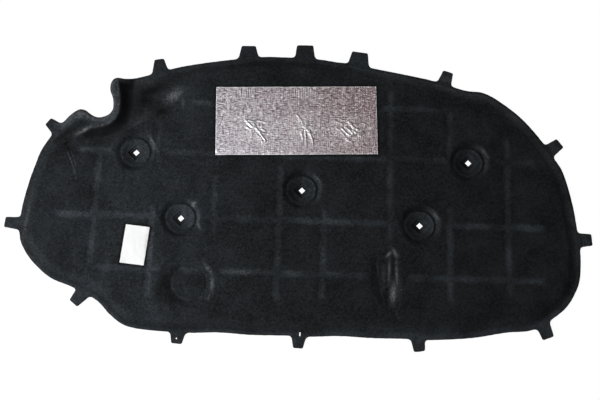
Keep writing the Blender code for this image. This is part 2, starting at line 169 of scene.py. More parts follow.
def hang_lamp(name, place, size, watts, colour):
    lamp = bpy.data.lights.new(name, "AREA")
    lamp.shape = "RECTANGLE"
    lamp.size, lamp.size_y = size
    lamp.energy = watts
    lamp.color = colour
    holder = bpy.data.objects.new(name, lamp)
    holder.location = place
    holder.rotation_euler = (-Vector(place)).to_track_quat("-Z", "Y").to_euler()
    bpy.context.scene.collection.objects.link(holder)


hang_lamp("side_lamp", **SIDE_LAMP)
hang_lamp("top_lamp", **TOP_LAMP)
world = bpy.data.worlds.new("studio")
world.use_nodes = True
fill = world.node_tree.nodes["Background"]
fill.inputs["Color"].default_value = WHITE
fill.inputs["Strength"].default_value = WORLD_STRENGTH
sky = Wire(world.node_tree, fill.outputs[0])
white_sky = sky.node("ShaderNodeBackground", {}, {"Color": WHITE, "Strength": 1.0})
to_camera = sky.node("ShaderNodeLightPath")
sky_seen = sky.node("ShaderNodeMixShader", {}, {0: to_camera, 1: sky, 2: white_sky})
sky_seen.into("Surface", "ShaderNodeOutputWorld")
bpy.context.scene.world = world

bpy.ops.object.select_all(action="DESELECT")
bpy.ops.mesh.primitive_plane_add(size=FLOOR_SIDE, location=(0, 0, -FLOOR_DROP))
floor = bpy.context.object
floor.name = "floor"
floor_paint, at = new_material("floor_white", Base_Color=FLOOR_COLOUR, Roughness=1.0, Specular_IOR_Level=0.0)
rays = floor_paint.node_tree.nodes.new("ShaderNodeLightPath")
seen = sum(Wire(floor_paint.node_tree, rays.outputs[kind])
           for kind in ("Is Camera Ray", "Is Glossy Ray", "Is Transmission Ray"))
glow = at.node("ShaderNodeEmission", {}, {"Color": WHITE, "Strength": FLOOR_GLOW})
lit = Wire(floor_paint.node_tree, floor_paint.node_tree.nodes["Principled BSDF"].outputs[0])
floor_seen = at.node("ShaderNodeMixShader", {}, {0: seen * FLOOR_GLOW_SHARE, 1: lit, 2: glow})
floor_seen.into("Surface", "ShaderNodeOutputMaterial")
floor.data.materials.append(floor_paint)


# Insulation pad. One sheet of black needled felt, pressed hot between two tools: 14 mm over its body, 3 mm at
# its hem and tabs, with shallow grooves, five clip seats, a pocket, two dents and a lip at the notch. It is
# made as a fine net of triangles over the plan, raised to the pressed shape, with a plain flat back.

# Sizes. They repeat the solid's, but the shoulder, the valley, the oval dent, the grooves' walls and the
# seats' steps and moats are a few millimetres softer or deeper here, so that they show as the real ones do.
BODY_THICK = 0.014
HEM_THICK = 0.003
HEM_WIDE = 0.008
SHOULDER_WIDE = 0.024
LIP_RISE = 0.003
LIP_ROUND = 0.006
LIP_EDGE_DROP = 0.005
LIP_FADE = 0.030
VALLEY_DEPTH = 0.0085
VALLEY_FALL = 0.022
VALLEY_CLIMB = 0.028
TAB_TIP_ROUND = 0.004
TAB_ROOT_FILLET = 0.008
CLIP_HOLE = 0.0105
SEATS = ((0.005, 0.0005), (-0.3745, 0.0765), (0.3815, 0.0765), (-0.264, -0.072), (0.271, -0.072))
STEP_SIDES = (0.027, 0.018)
STEP_DEPTH = 0.0019
STEP_WALL = 0.0014
SEAT_REACH = 0.052
SEAT_PROFILE = (
    (0.0, 0.0055), (0.012, 0.0055), (0.018, 0.0058), (0.024, 0.0065), (0.0300, 0.0079),
    (0.0318, 0.0077), (0.0334, 0.0066), (0.0350, 0.0058), (0.0366, 0.0066), (0.0400, 0.0098),
    (0.0435, 0.0123), (0.0475, 0.0136), (SEAT_REACH, BODY_THICK),
)
POCKET_PLACE = (-0.238, -0.217)
POCKET_FLOOR_RADIUS = 0.038
POCKET_WALL_WIDE = 0.018
POCKET_DEPTH = 0.0048
POCKET_RIM_RADIUS = 0.039
POCKET_RIM_WIDE = 0.0022
POCKET_RIM_DEPTH = 0.0011
LONG_DENT_TOP = (0.199, -0.122)
LONG_DENT_FOOT = (0.214, -0.272)
LONG_DENT_PROFILE = (
    (-0.043, 0.0), (-0.037, 0.0006), (-0.029, 0.0026), (-0.0265, 0.0031), (-0.024, 0.0026), (-0.021, 0.0036),
    (-0.012, 0.0058), (-0.005, 0.0066), (0.000, 0.0060), (0.005, 0.0040), (0.008, 0.0036), (0.012, 0.0038),
    (0.015, 0.0032), (0.021, 0.0012), (0.025, 0.0003), (0.029, 0.0),
)
OVAL_DENT_PLACE = (-0.327, 0.208)
OVAL_DENT_LENGTH = 0.122
OVAL_DENT_WIDE = 0.074
OVAL_DENT_DEPTH = 0.0078
OVAL_DENT_TURN = math.radians(10)
AXIS_X = 0.0035
GRID_X = (0.050, 0.197, 0.3315, 0.461)
GRID_Y = (0.1955, 0.0765, -0.072, -0.190)
GROOVE_WIDE = 0.016
GROOVE_DEPTH = 0.0015
GROOVE_FLOOR = 0.0018
GROOVE_WALL = 0.0095
SLIT_WIDE = 0.0028
SLIT_LONG = 0.0085
SLIT_PLACE = (0.0105, -0.320)
EYELET = 0.0034
EYELET_PLACE = (-0.2580, -0.3375)

# Where the two glued sheets lie: middle, turn against X, length along it and width
FOIL_PLACE = (-0.0125, 0.1615)
FOIL_TURN = math.radians(2.1)
FOIL_LONG = 0.368
FOIL_WIDE = 0.161
LABEL_PLACE = (-0.3607, -0.1367)
LABEL_TURN = math.radians(-5.2)
LABEL_WIDE = 0.0534
LABEL_LONG = 0.086
SHEETS = ((FOIL_PLACE, FOIL_TURN, FOIL_LONG, FOIL_WIDE), (LABEL_PLACE, LABEL_TURN, LABEL_WIDE, LABEL_LONG))

# Trim line without its tabs, clockwise from the left side: x, y and how far the felt stays thick there
TRIM = (
    (-0.623, -0.075, 0), (-0.613, -0.006, 0), (-0.600, 0.046, 0), (-0.591, 0.075, 0), (-0.571, 0.111, 0),
    (-0.547, 0.142, 0.5), (-0.521, 0.168, 1), (-0.508, 0.174, 1), (-0.497, 0.172, 1), (-0.481, 0.161, 1),
    (-0.467, 0.156, 1), (-0.445, 0.162, 1), (-0.436, 0.172, 1), (-0.434, 0.184, 1), (-0.436, 0.201, 1),
    (-0.444, 0.223, 1), (-0.443, 0.240, 1), (-0.437, 0.249, 1), (-0.428, 0.252, 1), (-0.394, 0.254, 0),
    (-0.357, 0.264, 0), (-0.305, 0.281, 0), (-0.250, 0.294, 0), (-0.162, 0.309, 0), (-0.102, 0.317, 0),
    (-0.034, 0.318, 0), (0.032, 0.316, 0), (0.078, 0.310, 0), (0.100, 0.3085, 0), (0.160, 0.298, 0),
    (0.305, 0.271, 0), (0.379, 0.250, 0), (0.414, 0.247, 0), (0.435, 0.239, 0), (0.469, 0.217, 0),
    (0.499, 0.193, 0), (0.519, 0.173, 0), (0.555, 0.129, 0), (0.579, 0.092, 0), (0.594, 0.069, 0),
    (0.609, 0.021, 0), (0.617, -0.016, 0), (0.625, -0.071, 0), (0.630, -0.114, 0), (0.626, -0.183, 0),
    (0.616, -0.210, 0), (0.595, -0.243, 0), (0.563, -0.270, 0), (0.525, -0.294, 0), (0.459, -0.303, 0),
    (0.389, -0.316, 0), (0.291, -0.324, 0), (0.247, -0.323, 0), (0.165, -0.3235, 0), (0.097, -0.3215, 0),
    (0.029, -0.325, 0), (-0.014, -0.324, 0), (-0.095, -0.325, 0), (-0.167, -0.322, 0), (-0.235, -0.325, 0),
    (-0.276, -0.324, 0), (-0.353, -0.318, 0), (-0.379, -0.310, 0), (-0.406, -0.291, 0), (-0.431, -0.266, 0),
    (-0.448, -0.254, 0), (-0.491, -0.234, 0), (-0.544, -0.214, 0), (-0.579, -0.187, 0), (-0.603, -0.160, 0),
    (-0.620, -0.127, 0),
)

# Tabs, clockwise from the left one: foot x and y, heading in degrees, reach, width of the tip and of the foot
TABS = (
    (-0.6225, -0.0950, 176, 0.0345, 0.023, 0.029), (-0.5585, 0.1260, 142, 0.0295, 0.020, 0.032),
    (-0.3325, 0.2725, 99, 0.0315, 0.022, 0.038), (-0.1290, 0.3145, 92, 0.0290, 0.033, 0.047),
    (0.0025, 0.3180, 91, 0.0315, 0.038, 0.047), (0.1275, 0.3040, 84, 0.0325, 0.037, 0.050),
    (0.3275, 0.2645, 72, 0.0320, 0.024, 0.033), (0.5680, 0.1120, 38, 0.0315, 0.025, 0.032),
    (0.6285, -0.0930, 4, 0.0285, 0.026, 0.032), (0.5425, -0.2840, -69, 0.0300, 0.026, 0.031),
    (0.2680, -0.3225, -82, 0.0270, 0.024, 0.031), (0.0085, -0.3230, -93, 0.0275, 0.021, 0.034),
    (-0.2555, -0.3230, -94, 0.0257, 0.023, 0.034), (-0.4700, -0.2450, -128, 0.0300, 0.023, 0.033),
)

# Crest of the lip round the notch, with the valley on its inner side, and the trough across the hump there
CREST = (
    (-0.510, 0.110), (-0.497, 0.120), (-0.478, 0.129), (-0.455, 0.134), (-0.437, 0.143), (-0.424, 0.160),
    (-0.4195, 0.182), (-0.421, 0.207), (-0.4265, 0.235), (-0.430, 0.256),
)
TROUGH = ((-0.556, 0.098), (-0.541, 0.110), (-0.519, 0.130), (-0.498, 0.145), (-0.484, 0.150))
TROUGH_WIDE = 0.013
TROUGH_DEPTH = 0.0026

# Pressed grid: line number on its own axis, where the groove starts and ends on the other, how plain it shows
GROOVES_UP = (
    (-4, -0.190, 0.0765, 1.0), (-3, -0.255, -0.040, 0.9), (-3, 0.045, 0.160, 0.6), (-2, -0.115, 0.030, 0.7),
    (-1, -0.255, 0.058, 0.75), (1, -0.250, -0.040, 0.7), (2, -0.112, 0.240, 0.7), (3, 0.0765, 0.1955, 0.7),
    (3, -0.250, -0.030, 0.85), (4, -0.225, 0.135, 0.7),
)
GROOVES_ACROSS = (
    (0, -0.255, -0.205, 0.8), (0, 0.178, 0.335, 0.7), (1, -0.510, -0.427, 1.0), (1, -0.320, 0.335, 0.8),
    (1, 0.432, 0.530, 0.8), (2, -0.545, -0.315, 1.0), (2, -0.212, 0.220, 0.85), (2, 0.321, 0.550, 1.0),
    (3, -0.4575, -0.300, 0.9), (3, -0.270, -0.212, 0.8), (3, -0.176, 0.150, 0.85), (3, 0.240, 0.545, 0.9),
)

# Places where the felt's skin is worn light or carries a painted highlight on a slope that faces the side
# lamp, or below 0 painted shade on a slope or in a hollow turned from it: middle, half length and half width
# in millimetres, heading in degrees and strength
RUBS_AND_PAINTED_LIGHT = (
    (-235.5, -39.5, 12, 6, 50, 0.9), (-221.5, -90, 14, 5, -58, 0.7), (-120, -190, 24, 6, 0, 0.7),
    (-297.5, 211, 32, 16, 38, 0.9), (-274, 196, 16, 5, 100, 0.6), (-493, 122.5, 26, 5, 36, 1),
    (201, -140, 15, 4.5, 48, 0.95), (215, -136, 16, 5, -62, 0.95), (203, -178, 34, 3.6, 88, 0.75),
    (219.5, -182, 38, 4.2, 92, 0.8), (212, -227, 30, 10, 82, 0.9), (221, -270, 22, 3, -70, 0.5),
    (177, -165, 34, 2, 90, 0.5), (-196, -183, 26, 7, -50, 0.7), (-185, -218, 26, 6, -88, 0.8),
    (-191, -246, 14, 3, -105, 0.7), (-327.5, -150, 55, 8, 90, 0.5), (-337, 100, 34, 6, -62, 0.8),
    (-365, 243, 26, 12, 8, 0.5), (-370, 148, 30, 14, 30, 0.4), (-506, 160, 24, 12, 20, 0.8),
    (42, 24, 20, 4, -50, 0.7), (418, 99, 18, 4, -55, 0.8), (307.5, -51, 18, 4, -55, 0.7),
    (-609, -90, 90, 7, 84, 0.5), (-186, 76.5, 20, 7, 0, 0.6), (-470, 76.5, 30, 9, 0, 0.4),
    (-348, 223, 50, 11, 26, -1), (-365, 200, 22, 16, 60, -0.9), (-322, 172, 20, 10, 8, -1),
    (-545, 107, 26, 8, 40, -0.9), (-295, -220, 34, 10, 88, -0.8), (-275, -262, 22, 8, -48, -0.6),
    (165, -190, 60, 6, 91, -0.6), (190, -190, 55, 9, 91, 0.52), (211, -178, 28, 2.4, 90, -0.7),
    (233, -200, 40, 4, 95, -0.4), (-385, 190, 50, 24, 75, -0.75), (-535, 115, 30, 9, 42, -0.7),
)

# Light scrapes in the felt's skin: points along each, and how plain it shows
SCRAPES = (
    (((-0.535, 0.083), (-0.521, 0.056), (-0.512, 0.036), (-0.503, 0.008)), 1.0),
    (((-0.524, 0.078), (-0.514, 0.060), (-0.505, 0.036)), 0.7),
    (((-0.586, -0.034), (-0.578, -0.043), (-0.573, -0.052)), 0.4),
    (((-0.566, -0.070), (-0.556, -0.080)), 0.4),
    (((-0.186, 0.066), (-0.188, 0.052)), 0.4),
)

# Marks on the felt, as tones of its skin, many of them painted light and shade: start and width of each fade,
# or middle and half width of a mark. The first is the heading, in degrees, of the side of each clip seat
# whose walls face the side lamp and carry painted highlights
LIT_HEADING = 20
# Clip seats: painted highlights on the disc's rim, in a crescent on the moat's far wall and on the step
# edges, and painted shade in the moat and on the step walls
DISC_END = (0.0312, 0.0025)
DISC_RIM = (0.0288, 0.0022)
MOAT_END = (0.0400, 0.0170)
CRESCENT = (0.0408, 0.0042)
STEP_LIGHT = (0.0012, 0.0013)
STEP_SHADE = (-STEP_WALL, 0.0016)
# Edge: the hem and the lip are pressed light, and the brim carries painted light and shade
HEM_END = (0.003, 0.014)
BRIM_START = (0.004, 0.006)
BRIM_END = (0.014, 0.024)
LIP_END = (0.010, 0.020)
# A broad upright band of the body is made lighter: its middle x and width, then how much
PALE_BAND = (-0.33, 0.16)
PALE_BAND_SHARE = 0.34
# Painted shade in the valley, and painted shadow round the sheets
VALLEY_START = (0.002, 0.004)
VALLEY_SHADE = 0.010
VALLEY_SHADE_GROWS = 0.024
SHEET_SHADOW = 0.0040
LIP_RUB_END = (0.007, 0.009)
# Painted highlight along the crest, and painted light along the right rim that evens out the lamp's shading
CREST_HIGHLIGHT_WIDE = (0.002, 0.006)
SIDE_LIGHT_X = (0.12, 0.25)
SIDE_LIGHT_Y = (-0.27, 0.16)
SIDE_LIGHT_START = (0.004, 0.004)
SIDE_LIGHT_END = (0.012, 0.015)
SCRAPE_WIDE = 0.0011

# What is uneven in the felt's height, edge and tone: how much, how wide and the seed of each. The seats
# keep a share of the body's swell, and the hem one of its grain
SWELLS = ((0.0006, 0.110, 3.1), (0.0003, 0.037, 7.7))
GRAINS = ((0.00022, 0.013, 1.3), (0.00012, 0.006, 5.9))
FRAYS = ((0.00035, 0.009, 2.2), (0.00021, 0.004, 8.4))
GROOVE_RAGS = ((0.0035, 0.012, 31.0),)
PATCHES = ((0.9, 0.045, 21.0),)
VALLEY_PATCHES = ((0.5, 0.012, 8.8),)
CREST_PATCHES = ((0.5, 0.018, 41.0),)
SEAT_SWELL = 0.3
HEM_GRAIN = 0.4

# Spacing of the net's lines over each part of the felt
BODY_NET = 0.0041
EDGE_NET = 0.0031
NOTCH_NET = 0.0023
DENT_NET = 0.0026
SEAT_NET = 0.0017
BACK_NET = 0.0110
CURVE_STEP = 0.0026
FINE_STEP = 0.0011
EYELET_STEP = 0.0008
SEAT_RINGS = (0.0300, 0.0318, 0.0334, 0.0350, 0.0366)
GROOVE_ROWS = (-0.0115, -0.0085, -0.0055, -0.0028, 0.0, 0.0028, 0.0055, 0.0085, 0.0115)
EDGE_BAND = 0.030
EDGE_CLEAR = 0.00143
DENT_START = 0.00001
GROOVE_START = 0.02
NOTCH_BOX = ((-0.570, 0.085), (-0.370, 0.262))
MERGE = 0.00002
NET_CLEAR = 0.0006
BACK_CLEAR = 0.004
SHARP_EDGE = math.radians(60)

# Rounding of the cut edge: how far in from the outline and how high each ring of it lies, from top to back
EDGE_RINGS = ((0.0009, 1.0), (0.0003, 0.9), (0.0, 0.68), (0.0, 0.2), (0.0004, 0.03), (0.0011, 0.0))


def smooth(share):
    share = np.clip(share, 0.0, 1.0)
    return share * share * (3 - 2 * share)


def ramp(value, start, wide):
    """Eases from 0 at the start to 1 where the width ends."""
    return smooth((value - start) / wide)


def ridge(value, middle, wide):
    """Returns 1 at the middle and less to both sides, like a bell."""
    return np.exp(-((value - middle) / wide) ** 2)


def heading_of(degrees):
    return np.array((math.cos(math.radians(degrees)), math.sin(math.radians(degrees))))


def left_of(way):
    """Turns one vector, or each of a list, a quarter to the left."""
    return np.stack((-way[..., 1], way[..., 0]), axis=-1)


def leftward(ways):
    """Returns vectors of length 1 that point to the left of these."""
    return left_of(ways) / np.linalg.norm(ways, axis=1)[:, None]


def cross(first, second):
    """Is above 0 where the second vector points to the left of the first."""
    return first[:, 0] * second[:, 1] - first[:, 1] * second[:, 0]


def plan_of(points, place, turn):
    """Gives the points in the plan of something that lies at the place, turned from X."""
    along = np.array((math.cos(turn), math.sin(turn)))
    return (points - place) @ np.stack((along, left_of(along)), axis=1)


def curve_through(stations, closed=False, step=CURVE_STEP):
    """Returns points along a centripetal Catmull-Rom curve through the stations, about one step apart."""
    knots = [np.array(station, float) for station in stations]
    if closed:
        knots = [knots[-1]] + knots + knots[:2]
    else:
        knots = [2 * knots[0] - knots[1]] + knots + [2 * knots[-1] - knots[-2]]
    points = []
    for before, start, end, after in zip(knots, knots[1:], knots[2:], knots[3:]):
        pairs = ((before, start), (start, end), (end, after))
        first, middle, last = [max(math.dist(a[:2], b[:2]), 1e-9) ** 0.5 for a, b in pairs]
        leave = middle * ((start - before) / first - (end - before) / (first + middle)) + (end - start)
        arrive = middle * ((after - end) / last - (after - start) / (middle + last)) + (end - start)
        count = max(1, round(math.dist(start[:2], end[:2]) / step))
        for number in range(count):
            t = number / count
            points.append((2 * t**3 - 3 * t**2 + 1) * start + (t**3 - 2 * t**2 + t) * leave
                          + (3 * t**2 - 2 * t**3) * end + (t**3 - t**2) * arrive)
    if not closed:
        points.append(knots[-2])
    return np.array(points)


def tree_of(corners):
    """Returns a search tree of the corners' places in the plan."""
    tree = kdtree.KDTree(len(corners))
    for number, corner in enumerate(corners):
        tree.insert((corner[0], corner[1], 0), number)
    tree.balance()
    return tree


def nearest_on(line, points, closed=False):
    """Gives each point's distance to the line, the part of it that is nearest and the share along that."""
    tree = tree_of(line)
    near = np.array([tree.find((x, y, 0))[1] for x, y in points])
    best = None
    for part in (near - 1, near):
        part = part % len(line) if closed else np.clip(part, 0, len(line) - 2)
        start = line[part, :2]
        run = line[(part + 1) % len(line), :2] - start
        offset = points - start
        share = np.clip((offset * run).sum(1) / np.maximum((run * run).sum(1), 1e-12), 0, 1)
        distance = np.linalg.norm(offset - share[:, None] * run, axis=1)
        if best is None:
            best = [distance, part, share]
        else:
            closer = distance < best[0]
            best = [np.where(closer, new, old) for new, old in zip((distance, part, share), best)]
    return best


def inside(line, points):
    """Tells for each point whether it lies inside the closed line."""
    start = line[None, :, :2]
    end = np.roll(line[:, :2], -1, axis=0)[None]
    result = []
    for some in np.array_split(points, 1 + len(points) // 500):
        x = some[:, None, 0]
        y = some[:, None, 1]
        spans = (start[..., 1] > y) != (end[..., 1] > y)
        rise = np.where(spans, end[..., 1] - start[..., 1], 1.0)
        crossing = start[..., 0] + (y - start[..., 1]) * (end[..., 0] - start[..., 0]) / rise
        result.append((spans & (x < crossing)).sum(axis=1) % 2 == 1)
    return np.concatenate(result)


def round_corner(before, corner, after, radius, turns=6):
    """Returns an arc-like bend that cuts the corner as far back as the radius or half a side allows."""
    back = min(radius, math.dist(before, corner) / 2, math.dist(corner, after) / 2)
    start = corner + (before - corner) * back / math.dist(before, corner)
    end = corner + (after - corner) * back / math.dist(after, corner)
    shares = [number / turns for number in range(turns + 1)]
    return [(1 - t) ** 2 * start + 2 * t * (1 - t) * corner + t**2 * end for t in shares]


def along_side(start, end, step=CURVE_STEP):
    """Returns evenly spaced points strictly between two corners."""
    count = max(1, round(math.dist(start, end) / step))
    return [start + (end - start) * number / count for number in range(1, count)]


def meet(line, start, heading):
    """Finds where the ray from start crosses the closed line first: the part of the line and the point."""
    begins = line[:, :2]
    runs = np.roll(begins, -1, axis=0) - begins
    across = left_of(heading)
    down = runs @ across
    share = ((start - begins) @ across) / np.where(abs(down) < 1e-12, 1e-12, down)
    reach = (begins + share[:, None] * runs - start) @ heading
    hit = (share >= 0) & (share < 1) & (reach > 0)
    part = int(np.where(hit, reach, np.inf).argmin())
    return part, begins[part] + share[part] * runs[part]


def trim_with_tabs(trim):
    """Returns the whole outline: the trim line with each tab's rounded tip and filleted roots let into it."""
    count = len(trim)
    reach_back = 1 + math.ceil(2 * TAB_ROOT_FILLET / CURVE_STEP)
    taken = set()
    arcs = {}
    for foot_x, foot_y, heading, reach, tip_wide, foot_wide in TABS:
        along = heading_of(heading)
        side = left_of(along)
        tip = np.array((foot_x, foot_y)) + along * reach
        corners = [tip + side * tip_wide / 2, tip - side * tip_wide / 2]
        flare = side * (foot_wide - tip_wide) / 2
        flanks = [flare - along * reach, -flare - along * reach]
        roots = [meet(trim, corner, flank / np.linalg.norm(flank)) for corner, flank in zip(corners, flanks)]
        enter = (roots[0][0] - reach_back) % count
        leave = (roots[1][0] + 1 + reach_back) % count
        path = [trim[enter, :2], roots[0][1], *corners, roots[1][1], trim[leave, :2]]
        radii = (TAB_ROOT_FILLET, TAB_TIP_ROUND, TAB_TIP_ROUND, TAB_ROOT_FILLET)
        bends = [round_corner(path[number - 1], path[number], path[number + 1], radius)
                 for number, radius in enumerate(radii, start=1)]
        arc = along_side(path[0], bends[0][0])
        for bend, after in zip(bends, bends[1:]):
            arc += bend + along_side(bend[-1], after[0])
        arc += bends[-1] + along_side(bends[-1][-1], path[-1])
        arcs[enter] = arc
        number = (enter + 1) % count
        while number != leave:
            taken.add(number)
            number = (number + 1) % count
    outline = []
    for number in range(count):
        if number not in taken:
            outline.append(trim[number, :2])
        outline += arcs.get(number, [])
    return np.array(outline)


def on_circle(centre, radius, turns):
    return np.array(centre) + radius * np.stack((np.cos(turns), np.sin(turns)), axis=1)


def ring(centre, radius, step=SEAT_NET):
    count = max(8, round(2 * math.pi * radius / step))
    return on_circle(centre, radius, np.arange(count) * 2 * math.pi / count)


def diamond(centre, side, step=SEAT_NET):
    """Returns the closed line of a square that stands on one of its corners."""
    reach = side / math.sqrt(2)
    corners = [np.array(centre) + reach * np.array(way) for way in ((1, 0), (0, 1), (-1, 0), (0, -1))]
    line = []
    for start, end in zip(corners, corners[1:] + corners[:1]):
        line += [start] + along_side(start, end, step)
    return np.array(line)


def slit_line(centre, length, width, sides=8):
    """Returns the closed line of an upright slit with half-round ends."""
    reach = np.array((0, (length - width) / 2))
    turns = np.arange(sides + 1) * math.pi / sides
    upper = on_circle(centre + reach, width / 2, turns)
    lower = on_circle(centre - reach, width / 2, math.pi + turns)
    return np.concatenate((upper, lower))


def unevenness(points, scale, seed):
    """Returns a soft random swell between about -1 and 1, of the given width in metres."""
    return np.array([noise.noise((x / scale, y / scale, seed)) for x, y in points])


def uneven_sum(points, forms):
    return sum(much * unevenness(points, scale, seed) for much, scale, seed in forms)


def groove_shares(points):
    """Returns how deep in a groove each point lies, and how plainly that groove shows there, from 0 to 1."""
    deep = np.zeros(len(points))
    shown = np.zeros(len(points))
    ragged = uneven_sum(points, GROOVE_RAGS)
    for start, end, plain in groove_lines:
        length = np.linalg.norm(end - start)
        along = (end - start) / length
        ahead = (points - start) @ along
        aside = abs((points - start) @ left_of(along))
        past = np.maximum(np.maximum(-ahead, ahead - length) + GROOVE_WIDE, 0)
        share = 1 - ramp(aside + ragged, GROOVE_FLOOR, GROOVE_WALL)
        share = share * (1 - smooth(past / GROOVE_WIDE - 0.2))
        deep = np.maximum(deep, share)
        shown = np.maximum(shown, share * plain)
    return deep, shown


def rub_light_and_shade(points):
    """Returns how strongly the skin is made light at each point, from 0 to 1, by rubs and painted highlights,
    and how strongly painted shade darkens it.
    """
    light = np.zeros(len(points))
    dark = np.zeros(len(points))
    for x, y, length, width, heading, strength in RUBS_AND_PAINTED_LIGHT:
        along = heading_of(heading)
        offset = points * 1000 - (x, y)
        ahead = offset @ along / length
        aside = offset @ left_of(along) / width
        share = abs(strength) * np.exp(-1.2 * (ahead**2 + aside**2))
        light = np.maximum(light, share * (strength > 0))
        dark = np.maximum(dark, share * (strength < 0))
    return light, dark


def dent_depth(points):
    """Returns how deep the pocket and the two dents are pressed at each point."""
    from_pocket = np.linalg.norm(points - POCKET_PLACE, axis=1)
    pocket = POCKET_DEPTH * (1 - ramp(from_pocket, POCKET_FLOOR_RADIUS, POCKET_WALL_WIDE))
    pocket = pocket + POCKET_RIM_DEPTH * ridge(from_pocket, POCKET_RIM_RADIUS, POCKET_RIM_WIDE)
    top = np.array(LONG_DENT_TOP)
    foot = np.array(LONG_DENT_FOOT)
    length = np.linalg.norm(foot - top)
    along = (foot - top) / length
    ahead = ((points - top) @ along) / length
    aside = (points - top) @ left_of(along)
    ends = smooth(ahead / 0.22) * smooth((1 - ahead) / 0.30)
    narrow = 0.55 + 0.45 * smooth(ahead / 0.3) * smooth((1.05 - ahead) / 0.5)
    long_dent = np.interp(aside / narrow, *np.array(LONG_DENT_PROFILE).T) * ends
    x, y = plan_of(points, OVAL_DENT_PLACE, OVAL_DENT_TURN).T
    from_oval = np.hypot(x / (OVAL_DENT_LENGTH / 2), y / (OVAL_DENT_WIDE / 2))
    lean = np.clip(x / OVAL_DENT_LENGTH + 0.5, 0, 1)
    oval_dent = OVAL_DENT_DEPTH * (1 - smooth(from_oval)) * (0.7 + 0.5 * lean)
    return np.maximum(np.maximum(pocket, long_dent), oval_dent)


def beside_crest(points):
    """Gives each point's distance to the crest, how far along that it is and if it is on the inner side."""
    distance, part, share = nearest_on(crest, points)
    inner = cross(crest[part + 1] - crest[part], points - crest[part]) < 0
    return distance, (part + share) / (len(crest) - 1), inner


def lip_change(points):
    """Returns how far the felt stands above its level by the notch: up at the lip's crest, down inside it."""
    distance, along, inner = beside_crest(points)
    rise = LIP_RISE * (1 - smooth(distance / LIP_FADE))
    fall = smooth(distance / VALLEY_FALL) * (1 - ramp(distance, VALLEY_FALL, VALLEY_CLIMB))
    ease = smooth(np.linalg.norm(points - CREST[0], axis=1) / (VALLEY_FALL + VALLEY_CLIMB))
    down = rise * (1 - smooth(distance / VALLEY_FALL)) - VALLEY_DEPTH * fall * ease
    from_trough = nearest_on(trough, points)[0]
    return np.where(inner, down, rise) - TROUGH_DEPTH * (1 - smooth(from_trough / TROUGH_WIDE))


def beside_trim(points):
    """Gives how far inside the trim line each point lies, 0 on the tabs, and how far it stays thick there."""
    distance, part, share = nearest_on(trim, points, closed=True)
    ahead = trim[(part + 1) % len(trim)] - trim[part]
    outer = cross(ahead, points - trim[part, :2]) > 0
    return np.where(outer, 0.0, distance), smooth(trim[part, 2] + share * ahead[:, 2])


def beside_seat(points):
    """Gives each point's distance to the nearest clip seat, cornerwise too, and its heading from there."""
    offsets = points - np.array(SEATS)[:, None]
    offset = offsets[np.linalg.norm(offsets, axis=2).argmin(axis=0), np.arange(len(points))]
    radius = np.linalg.norm(offset, axis=1)
    return radius, abs(offset).sum(axis=1) / math.sqrt(2), offset / np.maximum(radius, 1e-6)[:, None]


def felt_level(points):
    """Returns the height of the felt's engine side at each point."""
    distance, padded = beside_trim(points)
    body = ramp(distance, HEM_WIDE, SHOULDER_WIDE)
    full = smooth(distance / (HEM_WIDE + SHOULDER_WIDE))
    swell = uneven_sum(points, SWELLS)
    level = HEM_THICK + (BODY_THICK - HEM_THICK) * body
    lipped = BODY_THICK - LIP_EDGE_DROP * (1 - smooth(distance / LIP_ROUND))
    level = level + padded * (lipped - level)
    level = level + lip_change(points) * np.maximum(padded, full)
    level = level + (swell - dent_depth(points) - GROOVE_DEPTH * groove_shares(points)[0]) * full
    radius, cornerwise, ways = beside_seat(points)
    seat = np.interp(radius, *curve_through(SEAT_PROFILE, step=0.0004).T)
    for side in STEP_SIDES:
        seat = seat - STEP_DEPTH * smooth((side / 2 - cornerwise) / STEP_WALL)
    level = np.where(radius < SEAT_REACH, np.minimum(level, seat + SEAT_SWELL * swell), level)
    return np.maximum(level, HEM_THICK) + uneven_sum(points, GRAINS) * (HEM_GRAIN + (1 - HEM_GRAIN) * body)


def seat_marks(points):
    """Returns how plainly the felt is pressed in the clip seats, with painted highlights where its walls and
    edges face the side lamp and painted shade in the moat and on the step walls, and how far that covers its
    other marks.
    """
    radius, cornerwise, ways = beside_seat(points)
    east, north = ways.T
    toward = ways @ heading_of(LIT_HEADING)
    facing = smooth((toward - 0.30) / 0.55)
    disc = 1 - ramp(radius, *DISC_END)
    moat = (1 - disc) * (1 - ramp(radius, *MOAT_END))
    # The disc: pressed skin, painted lighter on the side whose wall faces the side lamp and darker on the
    # other, with a painted highlight on its rim there
    pressed_and_lit = 0.20 + 0.56 * toward + 1.1 * facing * ridge(radius, *DISC_RIM)
    # Painted highlights on the step edges and painted shade on the step walls
    for side in STEP_SIDES:
        from_step = cornerwise - side / 2
        pressed_and_lit = pressed_and_lit + (0.9 + 0.5 * toward) * ridge(from_step, *STEP_LIGHT)
        pressed_and_lit = pressed_and_lit - (0.9 - 0.3 * toward) * ridge(from_step, *STEP_SHADE)
    # Painted shade in the moat, darkest on its north side, turned to painted light on its west side where the
    # lamp itself shades the wall
    moat_shade = 0.40 * np.maximum(-east, 0) ** 3 - 0.32 - 0.34 * east - 0.48 * north
    # A painted highlight in a crescent on the moat's far wall, which faces the side lamp
    marks = disc * pressed_and_lit + moat * moat_shade * (1 - facing) + 0.85 * facing * ridge(radius, *CRESCENT)
    return marks, np.maximum(disc, moat)


